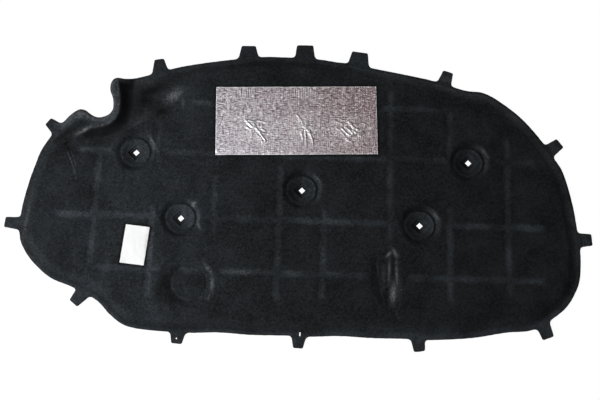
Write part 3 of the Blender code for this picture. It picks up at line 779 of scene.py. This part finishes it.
def edge_marks(points, distance, padded):
    """Returns how plainly the felt is pressed along its edge: hem, brim inside that and lip at the notch. The
    brim carries painted light and shade that evens out the side lamp's shading of the shoulder: lighter to
    the right and upper left, darker at the bottom.
    """
    x, y = points.T
    rightward = smooth(x / 0.4 + 0.3)
    leftmost = smooth(-x / 0.3)
    upward = smooth(y / 0.30 + 0.5)
    brim = ramp(distance, *BRIM_START) * (1 - ramp(distance, *BRIM_END))
    # Painted light and shade on the brim, evening out the side lamp's shading of the shoulder
    brim_light_and_shade = 1.15 * rightward * (0.6 + 0.4 * upward) + 0.45 * leftmost * upward - 0.42 * (1 - upward)
    hem = 0.62 - 0.22 * upward + 0.35 * rightward * (1 - upward)
    edge = hem * (1 - ramp(distance, *HEM_END)) + brim_light_and_shade * brim
    lip = 0.95 * (1 - ramp(distance, *LIP_END))
    return edge + padded * (lip - edge)


def felt_marks(points):
    """Returns how plainly the felt is pressed at each point: 1 where the tools have flattened its skin, 0
    where its pile stands and below 0 where painted shade darkens it: in the seats' moats, in the valley
    inside the crest, on slopes turned from the side lamp and round the sheets. Above 0 it also carries the
    seats' painted highlights and the brim's painted light."""
    distance, padded = beside_trim(points)
    full = smooth(distance / (HEM_WIDE + SHOULDER_WIDE))
    marks, cover = seat_marks(points)
    shown = groove_shares(points)[1] * (1 - cover) + marks
    shown = shown * full * (0.74 + uneven_sum(points, PATCHES))
    edge = edge_marks(points, distance, padded)
    shown = shown + np.maximum(edge - shown, 0) * smooth(edge / 0.05)
    # A broad upright band of the body is made lighter
    shown = shown + PALE_BAND_SHARE * ridge(points[:, 0], *PALE_BAND) * ramp(distance, HEM_WIDE, SHOULDER_WIDE)
    # Painted shade in the valley inside the crest
    from_crest, along, inner = beside_crest(points)
    shade_end = VALLEY_SHADE + VALLEY_SHADE_GROWS * along
    shaded = ramp(from_crest, *VALLEY_START) * (1 - ramp(from_crest, shade_end, VALLEY_SHADE))
    shaded = shaded * smooth(along / 0.12) * inner
    shown = shown - (shown + 0.95 + uneven_sum(points, VALLEY_PATCHES)) * shaded
    # Painted shadow round the foil and the label
    for place, turn, length, width in SHEETS:
        past = (abs(plan_of(points, place, turn)) - (length / 2, width / 2)).max(axis=1)
        shown = shown - (shown + 0.9) * ridge(np.maximum(past, 0), 0, SHEET_SHADOW)
    # Painted shade on slopes and in hollows turned from the side lamp
    shown = shown - (shown + 1) * rub_light_and_shade(points)[1]
    return np.clip(shown, -1, 1)


def wear_and_highlight_share(points):
    """Returns how far the skin is made light at each point: by rubs, scrapes and on the lip, and by painted
    highlights on slopes that face the side lamp, along the crest and on the right rim.
    """
    # Rubs, and painted highlights on slopes that face the side lamp
    worn_and_lit = rub_light_and_shade(points)[0] ** 2
    for line, (stations, plain) in zip(scrape_lines, SCRAPES):
        near = nearest_on(line, points)[0]
        worn_and_lit = np.maximum(worn_and_lit, 0.4 * plain * np.clip(1 - near / SCRAPE_WIDE, 0, 1))
    from_trim, part, share = nearest_on(trim, points, closed=True)
    lip = 0.42 * smooth(trim[part, 2]) * (1 - ramp(from_trim, *LIP_RUB_END))
    # Painted highlight along the crest
    from_crest, along, inner = beside_crest(points)
    top = (0.55 - 0.3 * along) * (0.8 + uneven_sum(points, CREST_PATCHES))
    top = top * ridge(from_crest, 0, np.where(inner, *CREST_HIGHLIGHT_WIDE))
    # Painted light along the right rim, evening out the side lamp's shading of the shoulder there
    side = 0.17 * ramp(points[:, 0], *SIDE_LIGHT_X) * ramp(points[:, 1], *SIDE_LIGHT_Y)
    side = side * ramp(from_trim, *SIDE_LIGHT_START) * (1 - ramp(from_trim, *SIDE_LIGHT_END))
    return np.maximum(np.maximum(worn_and_lit, lip), np.maximum(top, side))


def net(outline, step):
    """Returns staggered grid points inside the outline."""
    (left, low), (right, high) = outline.min(axis=0), outline.max(axis=0)
    ends = np.roll(outline, -1, axis=0)
    rows = []
    for number, y in enumerate(np.arange(low + step / 3, high, step * 0.866)):
        spans = (outline[:, 1] > y) != (ends[:, 1] > y)
        a, b = outline[spans], ends[spans]
        cuts = np.sort(a[:, 0] + (y - a[:, 1]) * (b[:, 0] - a[:, 0]) / (b[:, 1] - a[:, 1]))
        xs = np.arange(left, right, step) + (number % 2) * step / 2
        xs = xs[np.searchsorted(cuts, xs) % 2 == 1]
        rows.append(np.stack((xs, np.full(len(xs), y)), axis=1))
    return np.concatenate(rows)


def away_from(lines, points, gap):
    """Tells which points lie further than the gap from every corner of the lines."""
    tree = tree_of(np.concatenate(lines))
    return np.array([tree.find((x, y, 0))[2] > gap for x, y in points])


def runs_left(loop):
    """Tells whether a closed line runs counter-clockwise."""
    return cross(loop, np.roll(loop, -1, axis=0)).sum() > 0


def shrunk(loop, gap, hole=False):
    """Returns a closed line moved into the felt by the gap: inwards, or outwards round a hole."""
    ahead = np.roll(loop, -1, axis=0) - np.roll(loop, 1, axis=0)
    return loop + leftward(ahead) * gap * (1 if runs_left(loop) != hole else -1)


def shrunk_all(loops, gap):
    """Moves the outline, which comes first, and the holes into the felt by the gap."""
    return [shrunk(loop, gap, hole=number > 0) for number, loop in enumerate(loops)]


def skin(loops, fixed, free):
    """Triangulates a plan that the first loop bounds and the others pierce. Returns the spots, the faces and
    which spot each point of the loops has become."""
    points = []
    edges = []
    for line, closed in [(loop, True) for loop in loops] + fixed:
        first = len(points)
        points += [Vector(corner) for corner in line]
        last = len(points) - 1
        edges += [(number, number + 1) for number in range(first, last)]
        if closed:
            edges.append((last, first))
    points += [Vector(point) for point in free]
    spots, lines, faces, origins = delaunay_2d_cdt(points, edges, [], 1, MERGE)[:4]
    spots = np.array([tuple(spot) for spot in spots])
    faces = np.array([list(face) for face in faces])
    bound = sum(len(loop) for loop in loops)
    home = np.full(bound, -1)
    on_loop = np.zeros(len(spots), bool)
    for number, origin in enumerate(origins):
        for old in origin:
            if old < bound:
                home[old] = number
                on_loop[number] = True
    unsure = on_loop[faces].any(axis=1)
    middles = spots[faces[unsure]].mean(axis=1)
    kept = inside(loops[0], middles)
    for hole in loops[1:]:
        kept &= ~inside(hole, middles)
    keep = np.ones(len(faces), bool)
    keep[unsure] = kept
    faces = faces[keep]
    a, b, c = spots[faces].transpose(1, 0, 2)
    turned = cross(b - a, c - a) < 0
    faces[turned] = faces[turned][:, ::-1]
    return spots, faces, home


def wall(loops, upper, lower):
    """Returns the faces between two rings of every loop, facing out of the solid."""
    faces = []
    first = 0
    for number, loop in enumerate(loops):
        forward = runs_left(loop) == (number == 0)
        ids = first + np.arange(len(loop))
        for a, b in zip(ids, np.roll(ids, -1)):
            face = (upper[a], lower[a], lower[b], upper[b])
            faces.append(face if forward else face[::-1])
        first += len(loop)
    return faces


def sheet_of(loops, rings, level, fixed, free, back_free):
    """Closes a plan into a solid: the shaped top, rings down its cut edges and a flat back. Returns its
    corners, its faces and how many of the corners belong to the top."""
    top_loops = shrunk_all(loops, rings[0][0])
    for number, loop in enumerate(top_loops):
        clear = nearest_on(loop, free, closed=True)[0] > NET_CLEAR
        free = free[clear & (inside(loop, free) == (number == 0))]
    spots, faces, home = skin(top_loops, fixed, free)
    heights = level(spots)
    corners = [np.column_stack((spots, heights))]
    faces = [tuple(face) for face in faces]
    top_count = count = len(spots)
    previous = home
    for gap, share in rings[1:-1]:
        flat = np.concatenate(shrunk_all(loops, gap))
        corners.append(np.column_stack((flat, heights[home] * share)))
        current = np.arange(count, count + len(flat))
        count += len(flat)
        faces += wall(loops, previous, current)
        previous = current
    spots, back_faces, home = skin(shrunk_all(loops, rings[-1][0]), [], back_free)
    corners.append(np.column_stack((spots, np.zeros(len(spots)))))
    faces += [tuple(face[::-1] + count) for face in back_faces]
    faces += wall(loops, previous, home + count)
    return np.concatenate(corners), faces, top_count


def new_piece(name, corners, faces):
    mesh = bpy.data.meshes.new(name)
    faces = [tuple(int(number) for number in face) for face in faces]
    mesh.from_pydata([tuple(corner) for corner in corners], [], faces)
    mesh.validate()
    mesh.shade_smooth()
    mesh.set_sharp_from_angle(angle=SHARP_EDGE)
    piece = bpy.data.objects.new(name, mesh)
    bpy.context.scene.collection.objects.link(piece)
    return piece


def paint(piece, name, values):
    """Gives each corner of the piece a number for its material to read, and 0 past the last of the values."""
    every = np.zeros(len(piece.data.vertices), np.float32)
    every[:len(values)] = values
    piece.data.attributes.new(name, "FLOAT", "POINT").data.foreach_set("value", every)


def near_seat(points):
    return beside_seat(points)[0] < SEAT_REACH


def near_dent(points):
    return dent_depth(points) > DENT_START


def near_notch(points):
    return ((points > NOTCH_BOX[0]) & (points < NOTCH_BOX[1])).all(axis=1)


def near_edge(points):
    return nearest_on(trim, points, closed=True)[0] < EDGE_BAND


def near_groove(points):
    return groove_shares(points)[0] > GROOVE_START


def outside_all(regions, points):
    return ~np.any([np.zeros(len(points), bool)] + [here(points) for here in regions], axis=0)


trim = curve_through(TRIM, closed=True)
crest = curve_through(CREST)
trough = curve_through(TROUGH)
groove_lines = []
for number, low, high, plain in GROOVES_UP:
    x = AXIS_X + math.copysign(GRID_X[abs(number) - 1], number)
    groove_lines.append((np.array((x, low)), np.array((x, high)), plain))
for number, left, right, plain in GROOVES_ACROSS:
    groove_lines.append((np.array((left, GRID_Y[number])), np.array((right, GRID_Y[number])), plain))

outline = trim_with_tabs(trim)
outline = outline + (shrunk(outline, 1.0) - outline) * uneven_sum(outline, FRAYS)[:, None]
loops = [outline] + [diamond(centre, CLIP_HOLE, FINE_STEP) for centre in SEATS]
loops += [slit_line(SLIT_PLACE, SLIT_LONG, SLIT_WIDE), ring(EYELET_PLACE, EYELET / 2, EYELET_STEP)]

seat_lines = []
for centre in SEATS:
    seat_lines += [ring(centre, radius) for radius in SEAT_RINGS]
    for side in STEP_SIDES:
        seat_lines += [diamond(centre, side), diamond(centre, side - 2 * STEP_WALL)]
scrape_lines = [curve_through(stations, step=FINE_STEP) for stations, plain in SCRAPES]
scrape_sides = []
for line in scrape_lines:
    aside = leftward(np.gradient(line, axis=0))
    scrape_sides += [line + aside * SCRAPE_WIDE, line - aside * SCRAPE_WIDE]
groove_rows = []
for start, end, plain in groove_lines:
    length = np.linalg.norm(end - start)
    along = (end - start) / length
    for gap in GROOVE_ROWS:
        groove_rows.append(start + np.arange(0, length, BODY_NET)[:, None] * along + left_of(along) * gap)
groove_rows = np.concatenate(groove_rows)

nets = ((near_seat, SEAT_NET), (near_notch, NOTCH_NET), (near_dent, DENT_NET), (near_edge, EDGE_NET))
finer = []
free = []
for here, step in nets:
    points = net(outline, step)
    free.append(points[here(points) & outside_all(finer, points)])
    finer.append(here)
points = net(outline, BODY_NET)
free.append(points[outside_all(finer + [near_groove], points)])
free.append(groove_rows[outside_all(finer, groove_rows)])
free = np.concatenate(free)
free = free[away_from([outline], free, EDGE_CLEAR)]
free = free[away_from(loops[1:] + seat_lines + scrape_lines + scrape_sides, free, NET_CLEAR)]
free = np.concatenate([free] + scrape_sides)
back_free = net(outline, BACK_NET)
back_free = back_free[away_from(loops, back_free, BACK_CLEAR)]
fixed = [(line, True) for line in seat_lines] + [(line, False) for line in scrape_lines]
corners, faces, top_count = sheet_of(loops, EDGE_RINGS, felt_level, fixed, free, back_free)
pad = new_piece("felt_pad", corners, faces)
top_spots = corners[:top_count, :2]
paint(pad, "pressed", felt_marks(top_spots))
paint(pad, "worn_and_highlit", wear_and_highlight_share(top_spots))

# Felt colours. The darkest is for painted shade, and the worn tones also serve painted highlights
FELT_IN_PAINTED_SHADE = (0.0034, 0.0037, 0.0045)
FELT_DARK = (0.0040, 0.0045, 0.0053)
FELT_LIGHT = (0.0240, 0.0277, 0.0316)
PRESSED_DARK = (0.0125, 0.0142, 0.0165)
PRESSED_LIGHT = (0.0550, 0.0637, 0.0725)
WORN_AND_LIT_DARK = (0.042, 0.044, 0.049)
WORN_AND_LIT_LIGHT = (0.190, 0.200, 0.212)
LINT_COLOUR = (0.16, 0.17, 0.18)
felt, at = new_material("black_felt", Roughness=0.92, Sheen_Weight=0.0, Specular_IOR_Level=0.12)
nap = at.speckle(330.0, 2.0, 0.6)
fuzz = at.speckle(620.0, 3.0, 0.6)
long_fibres = at.stretched(0.5, (1.0, 0.22))
cross_fibres = at.stretched(-0.7, (0.22, 1.0))
strands = at.math("MAXIMUM", long_fibres.speckle(900.0, 2.0, distortion=0.6),
                  cross_fibres.speckle(900.0, 2.0, distortion=0.6))
tufts = at.speckle(150.0, 3.0, 0.65)
cloud = at.speckle(17.0, 3.0, 0.6)
pile = fuzz * 0.30 + strands * 0.30 + tufts * 0.35 + nap * 0.45
from_middle = at.node("ShaderNodeSeparateXYZ", {}, {"Vector": at})
lively = {"Value": from_middle, "From Min": 0.10, "From Max": 0.42, "To Min": 3.3, "To Max": 2.4}
lively = at.node("ShaderNodeMapRange", {"interpolation_type": "SMOOTHSTEP"}, lively)
tone = ((pile - 0.70) * lively + (cloud - 0.5) * 0.95 + 0.29).clamped()
# The pressed share also carries painted highlights and the brim's painted light above 0, and painted shade
# below 0
pressed = at.painted("pressed")
patchy = (pressed * (cloud * 1.1 + 0.42)).clamped()
felt_colour = patchy.blend(tone.blend(FELT_DARK, FELT_LIGHT), tone.blend(PRESSED_DARK, PRESSED_LIGHT))
# Painted shade: below 0 the felt goes to its darkest colour
painted_shade = at.math("MAXIMUM", pressed * -1.0, 0.0)
felt_colour = painted_shade.blend(felt_colour, FELT_IN_PAINTED_SHADE)
# Worn places, and painted highlights on slopes that face the side lamp, on the crest and on the right rim
wear_and_highlight_mix = at.math("MINIMUM", at.painted("worn_and_highlit") * (nap * 1.6 + 0.2), 1.0)
felt_colour = wear_and_highlight_mix.blend(felt_colour, tone.blend(WORN_AND_LIT_DARK, WORN_AND_LIT_LIGHT))
lint_spots = at.node("ShaderNodeTexVoronoi", {"feature": "F1"}, {"Vector": long_fibres, "Scale": 34.0})
lint = at.math("LESS_THAN", lint_spots, 0.014) * at.math("GREATER_THAN", cloud, 0.47)
(lint * 0.5).blend(felt_colour, LINT_COLOUR).into("Base Color")
(pile * (1 - patchy * 0.5)).bumps_into_normal(0.9, 0.0007)
pad.data.materials.append(felt)
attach(pad, "root")
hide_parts("insulation_pad")


# Foil heat shield. A rectangle of thin aluminium foil on a woven scrim, glued on the felt by its far edge.
# Handling has crinkled it all over and left three star-shaped bruises. It is made as a fine closed sheet that
# follows the felt, folded by sums.
FOIL_THICK = 0.0006
FOIL_NET = 0.0012
FOIL_GAP = 0.0004
FOIL_PRESSED = 0.0001
FOIL_EDGE = 0.006
FOIL_BRINK = 0.0018
SCRIM_PITCH = 0.0044
SCRIM_WANDER = 0.0050
RIPPLES = ((-0.137, -0.092), (-0.010, 0.042), (0.152, 0.166))
RIPPLE_END = 0.010
RIPPLE_START = (0.040, 0.030)
RIPPLE_PITCH = 0.0054
RIPPLE_HEIGHT = 0.00055
CRINKLE = (0.00020, 0.0050, 11.5)
CREASES = (0.00022, 0.0105, 4.2)
FOIL_SWELLS = ((0.00025, 0.022, 9.1),)
CRUSHED = ((0.0006, 0.0080, 15.0), (0.0007, 0.0042, 19.0))
BRUISE_CENTRES = ((-0.093, -0.018), (0.020, -0.017), (0.125, -0.022))
BRUISE_REACH = (0.8, 0.038)
# How far the painted highlight over each bruise reaches
BRUISE_HIGHLIGHT_REACH = (0.7, 0.050)
FOLD_STEP = 0.001
FOLD_WIDE = 0.0018235
FOLD_SHINE = 0.28
SHINE_WIDE = 0.0013

# Sharp folds of the three bruises: height of each, then x and y of places along it, all in millimetres of the
# foil's own plan. Painted highlights over the bruises: half width and brightness of each, then the same
FOLDS = (
    (2.2, (-117, 2, -104, -12, -93.5, -17.5)), (3, (-93.5, -17.5, -83, -31, -71, -48)),
    (1.8, (-109, 0, -99, -3, -88, -1, -70, -4)), (1.6, (-114.5, -15, -106.6, -20, -99, -21)),
    (1.8, (-78, -20, -71, -25)), (1.8, (1, 13, 10, 1, 18, -16)), (2.2, (25, -5, 18, -16, 9, -28)),
    (1.4, (-4, -15, 8, -14, 18, -16)), (2.2, (18, -16, 27, -26, 36, -45)),
    (1.6, (19, -18, 21, -36, 22, -56)), (1.6, (29, -22, 34, -40, 38, -56)),
    (2.8, (103.4, -20, 112, -29, 121.8, -37, 136, -35, 147, -37)), (2.4, (124, -12, 132, -19, 141, -23)),
    (2, (88, -2, 97, -6, 106, -10)), (1.8, (108, -42, 117, -47, 127, -53)), (1.8, (152, -8, 158, -11)),
    (1.6, (90, -18, 100, -26, 114, -44)), (2, (-113, -3, -106, -9, -100, -17)),
    (2.2, (-101, -6, -94, -12, -89, -22)), (1.6, (-96, -13, -85, -14, -77, -12)),
    (1.6, (-91, -20, -99, -29, -103, -38)), (2, (-86, -24, -79, -30, -70, -30)),
    (1.6, (-88, -34, -80, -43, -77, -52)), (1.8, (12, -8, 18, -16, 30, -14)),
    (1.6, (20, -16, 27, -8, 36, -4)), (1.8, (17, -18, 12, -30, 14, -42)), (1.6, (26, -30, 33, -34, 42, -34)),
    (1.6, (2, -24, 9, -25, 16, -21)), (1.4, (4, 6, 8, -4, 6, -12)), (1.8, (118, -4, 126, -10, 138, -12)),
    (2, (130, -26, 138, -31, 152, -30)), (2, (112, -16, 120, -23, 128, -32)),
    (1.4, (98, 3, 108, -1, 116, 0)),
)
BRUISE_HIGHLIGHTS = (
    (6, 0.7, (-108, -10, -98, -16, -87, -24)), (5.5, 0.75, (13, -13, 19, -17, 21, -24)),
    (3, 0.55, (114, -30, 130, -35, 147, -34)),
)


def ripples(local):
    """Returns the upright ripples along the foil's top edge at each point of its own plan, from -1 to 1."""
    x, y = local.T
    there = [ramp(x, left, RIPPLE_END) * (1 - ramp(x, right - RIPPLE_END, RIPPLE_END))
             for left, right in RIPPLES]
    wander = 0.0016 * unevenness(local * (1, 0.3), 0.012, 2.9)
    wave = np.sin((x + wander) * 2 * math.pi / RIPPLE_PITCH)
    uneven = 0.7 + 0.6 * unevenness(local, 0.016, 6.6)
    return np.max(there, axis=0) * ramp(y, *RIPPLE_START) * uneven * wave


def crumple(points, height, scale, seed):
    """Returns sharp random creases of the given width, as high along them as they are deep between them."""
    return height * (1 - 2 * abs(unevenness(points, scale, seed)))


def bruise_share(local, squeeze, reach):
    """Returns how near each point is to the middle of a bruise, from 1 there to 0 at its reach. A squeeze
    below 1 makes the bruises long."""
    away = [np.linalg.norm((local - centre) * (squeeze, 1), axis=1) for centre in BRUISE_CENTRES]
    return 1 - smooth(np.min(away, axis=0) / reach)


def beside_lines(local, rows):
    """Gives, for each row, each point's distance to the line that it holds, and the row's other numbers."""
    for *numbers, places in rows:
        line = curve_through(np.array(places).reshape(-1, 2) / 1000, step=FOLD_STEP)
        yield nearest_on(line, local)[0], *numbers


def foil_lift(local):
    """Returns how far the foil stands off the felt at each point of its own plan."""
    x, y = local.T
    lift = crumple(local * (0.45, 1), *CRINKLE) + crumple(local, *CREASES)
    lift = lift + uneven_sum(local, FOIL_SWELLS) + RIPPLE_HEIGHT * ripples(local)
    lift = lift + bruise_share(local, *BRUISE_REACH) * sum(crumple(local, *form) for form in CRUSHED)
    folds = [height * np.exp(-(near / FOLD_WIDE) ** 1.4) for near, height in beside_lines(local, FOLDS)]
    lift = lift + np.max(folds, axis=0) / 1000
    edge = np.minimum(FOIL_LONG / 2 - abs(x), FOIL_WIDE / 2 - abs(y))
    return FOIL_GAP + np.maximum(lift, -FOIL_PRESSED) * smooth(edge / FOIL_EDGE + 0.12)


def fold_highlight_share(local):
    """Returns how strongly the foil carries painted highlights at each point of its own plan, from 0 to 1:
    over the bruises, on the ripples' tops and along the folds.
    """
    shares = [0.36 * bruise_share(local, *BRUISE_HIGHLIGHT_REACH), 0.85 * ripples(local)]
    for near, height in beside_lines(local, FOLDS):
        shares.append(FOLD_SHINE * height * ridge(near, 0, SHINE_WIDE))
    for near, wide, plain in beside_lines(local, BRUISE_HIGHLIGHTS):
        shares.append(plain * ridge(near, 0, wide / 1000))
    return np.max(shares, axis=0)


def laid_sheet(name, length, width, step, thick, place, turn, lift):
    """Builds a thin closed sheet that follows the felt, lifted off it by lift, with its own plan as UV map.
    Returns it and the places of its corners in that plan."""
    columns = round(length / step) + 1
    rows = round(width / step) + 1
    xs = np.linspace(-length / 2, length / 2, columns)
    ys = np.linspace(-width / 2, width / 2, rows)
    local = np.array([(x, y) for y in ys for x in xs])
    along = np.array((math.cos(turn), math.sin(turn)))
    flat = local @ np.stack((along, left_of(along))) + place
    low = np.maximum(felt_level(flat), 0) + lift(local)
    corners = np.concatenate((np.column_stack((flat, low + thick)), np.column_stack((flat, low))))
    count = len(local)
    grid = np.arange(count).reshape(rows, columns)
    faces = []
    for a, b, c, d in zip(grid[:-1, :-1].flat, grid[:-1, 1:].flat, grid[1:, 1:].flat, grid[1:, :-1].flat):
        faces += [(a, b, c, d), (d + count, c + count, b + count, a + count)]
    rim = [*grid[0], *grid[1:, -1], *grid[-1, -2::-1], *grid[-2:0:-1, 0]]
    faces += [(b, a, a + count, b + count) for a, b in zip(rim, rim[1:] + rim[:1])]
    piece = new_piece(name, corners, faces)
    plan = np.concatenate((local, local))
    corner_of = np.zeros(len(piece.data.loops), np.int32)
    piece.data.loops.foreach_get("vertex_index", corner_of)
    piece.data.uv_layers.new(name="plan").data.foreach_set("uv", plan[corner_of].astype(np.float32).ravel())
    return piece, plan


foil, foil_plan = laid_sheet("foil_shield", FOIL_LONG, FOIL_WIDE, FOIL_NET, FOIL_THICK, FOIL_PLACE, FOIL_TURN,
                             foil_lift)
paint(foil, "fold_highlights", fold_highlight_share(foil_plan))

# Besides the foil's own tint, its colour carries painted reflections: dark streaks and bright glints in the
# crinkles, highlights along the folds, over the bruises and on the ripples, and a highlight on the cut edge
FOIL_BLUE = (0.620, 0.583, 0.635)
FOIL_PINK = (0.470, 0.368, 0.384)
FOIL_SHADE = (0.10, 0.075, 0.08)
FOIL_SPARK = (0.95, 0.93, 0.94)
silver, at = new_material("crinkled_foil", Metallic=1.0)
plan = at.node("ShaderNodeUVMap", {"uv_map": "plan"})
plan_x = at.node("ShaderNodeSeparateXYZ", {}, {0: plan})
plan_y = at.node("ShaderNodeSeparateXYZ", {}, {0: plan}, output=1)
thread_turns = 2 * math.pi / SCRIM_PITCH
uprights_woven = at.math("SINE", (plan_x + (plan.speckle(60.0, 2.0) - 0.5) * SCRIM_WANDER) * thread_turns)
levels_woven = at.math("SINE", (plan_y + (plan.speckle(45.0, 2.0) - 0.5) * SCRIM_WANDER) * thread_turns)
scrim = at.math("MAXIMUM", uprights_woven, levels_woven) * 0.5 + 0.5
streaks = plan.stretched(0, (0.30, 1.0)).speckle(350.0, 3.0, 0.6)
uprights = plan.stretched(0, (1.0, 0.3)).speckle(260.0, 3.0, 0.6)
blotch = plan.speckle(26.0, 3.0)
# Painted shade: darker and pinker toward the right, away from the side lamp, and toward the top
rightward = (plan_x / FOIL_LONG + 0.5 + (blotch - 0.5) * 0.5 + plan_y * 1.2).clamped()
# Painted dark reflections in the crinkles' streaks, more of them toward the top
dark_reflections = ((0.5 - streaks) * 5.6 + (0.5 - uprights) * 3.2 + (blotch - 0.5) * 1.1 + 0.12 + plan_y * 2.4).clamped()
ground = (dark_reflections * 0.75).blend(rightward.blend(FOIL_BLUE, FOIL_PINK), FOIL_SHADE)
# Painted glints in the crinkles, with the painted highlights of the folds and bruises
spark = ((streaks - 0.54) * 7.5 + (uprights - 0.54) * 3.5).clamped()
spark = at.math("MINIMUM", spark * 0.8 + at.painted("fold_highlights") * (uprights * 1.3 + 0.2), 1.0)
# A painted highlight along the cut edge
brink = at.math("MAXIMUM", abs(plan_x) - FOIL_LONG / 2 + FOIL_BRINK, abs(plan_y) - FOIL_WIDE / 2 + FOIL_BRINK)
spark = at.math("MAXIMUM", spark, at.math("GREATER_THAN", brink, 0.0) * 0.55)
spark.blend(ground, FOIL_SPARK).into("Base Color")
(0.34 + blotch * 0.2).into("Roughness")
(scrim * 0.14 + streaks * 1.1 + uprights * 0.6).bumps_into_normal(1.0, 0.0016)
foil.data.materials.append(silver)
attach(foil, "root")
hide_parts("foil_heat_shield")


# Paper label. A plain white sticker, left bare, pressed on beside the left seat, two corners just lifting. It
# is made as the foil is, as a thin closed sheet that follows the felt.
LABEL_THICK = 0.0003
LABEL_NET = 0.0018
LABEL_GAP = 0.00035
LABEL_WAVE = 0.00012

# Its curled corners: 1 for the upper right and -1 for the lower left, then how high and how far in each curls
CURLS = ((1, 0.0011, 0.020), (-1, 0.0008, 0.016))


def label_lift(local):
    """Returns how far the paper stands off the felt: flat in the middle, with two corners curling up."""
    corner = np.array((LABEL_WIDE, LABEL_LONG)) / 2
    lift = LABEL_GAP + LABEL_WAVE * (1 + unevenness(local, 0.018, 12.3))
    for sign, height, reach in CURLS:
        lift = lift + height * (1 - smooth(np.linalg.norm(local - sign * corner, axis=1) / reach))
    return lift


label = laid_sheet("label_paper", LABEL_WIDE, LABEL_LONG, LABEL_NET, LABEL_THICK, LABEL_PLACE, LABEL_TURN,
                   label_lift)[0]
PAPER_WHITE = (0.89, 0.89, 0.88)
PAPER_SHADE = (0.82, 0.82, 0.81)
paper, at = new_material("white_paper", Roughness=0.55, Specular_IOR_Level=0.3)
pulp = at.speckle(260.0, 5.0, 0.7)
mottle = ((pulp - 0.5) * 1.2 + (at.speckle(32.0, 3.0) - 0.5) * 1.4 + 0.3).clamped()
mottle.blend(PAPER_WHITE, PAPER_SHADE).into("Base Color")
pulp.bumps_into_normal(0.35, 0.0001)
label.data.materials.append(paper)
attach(label, "root")
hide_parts("paper_label")
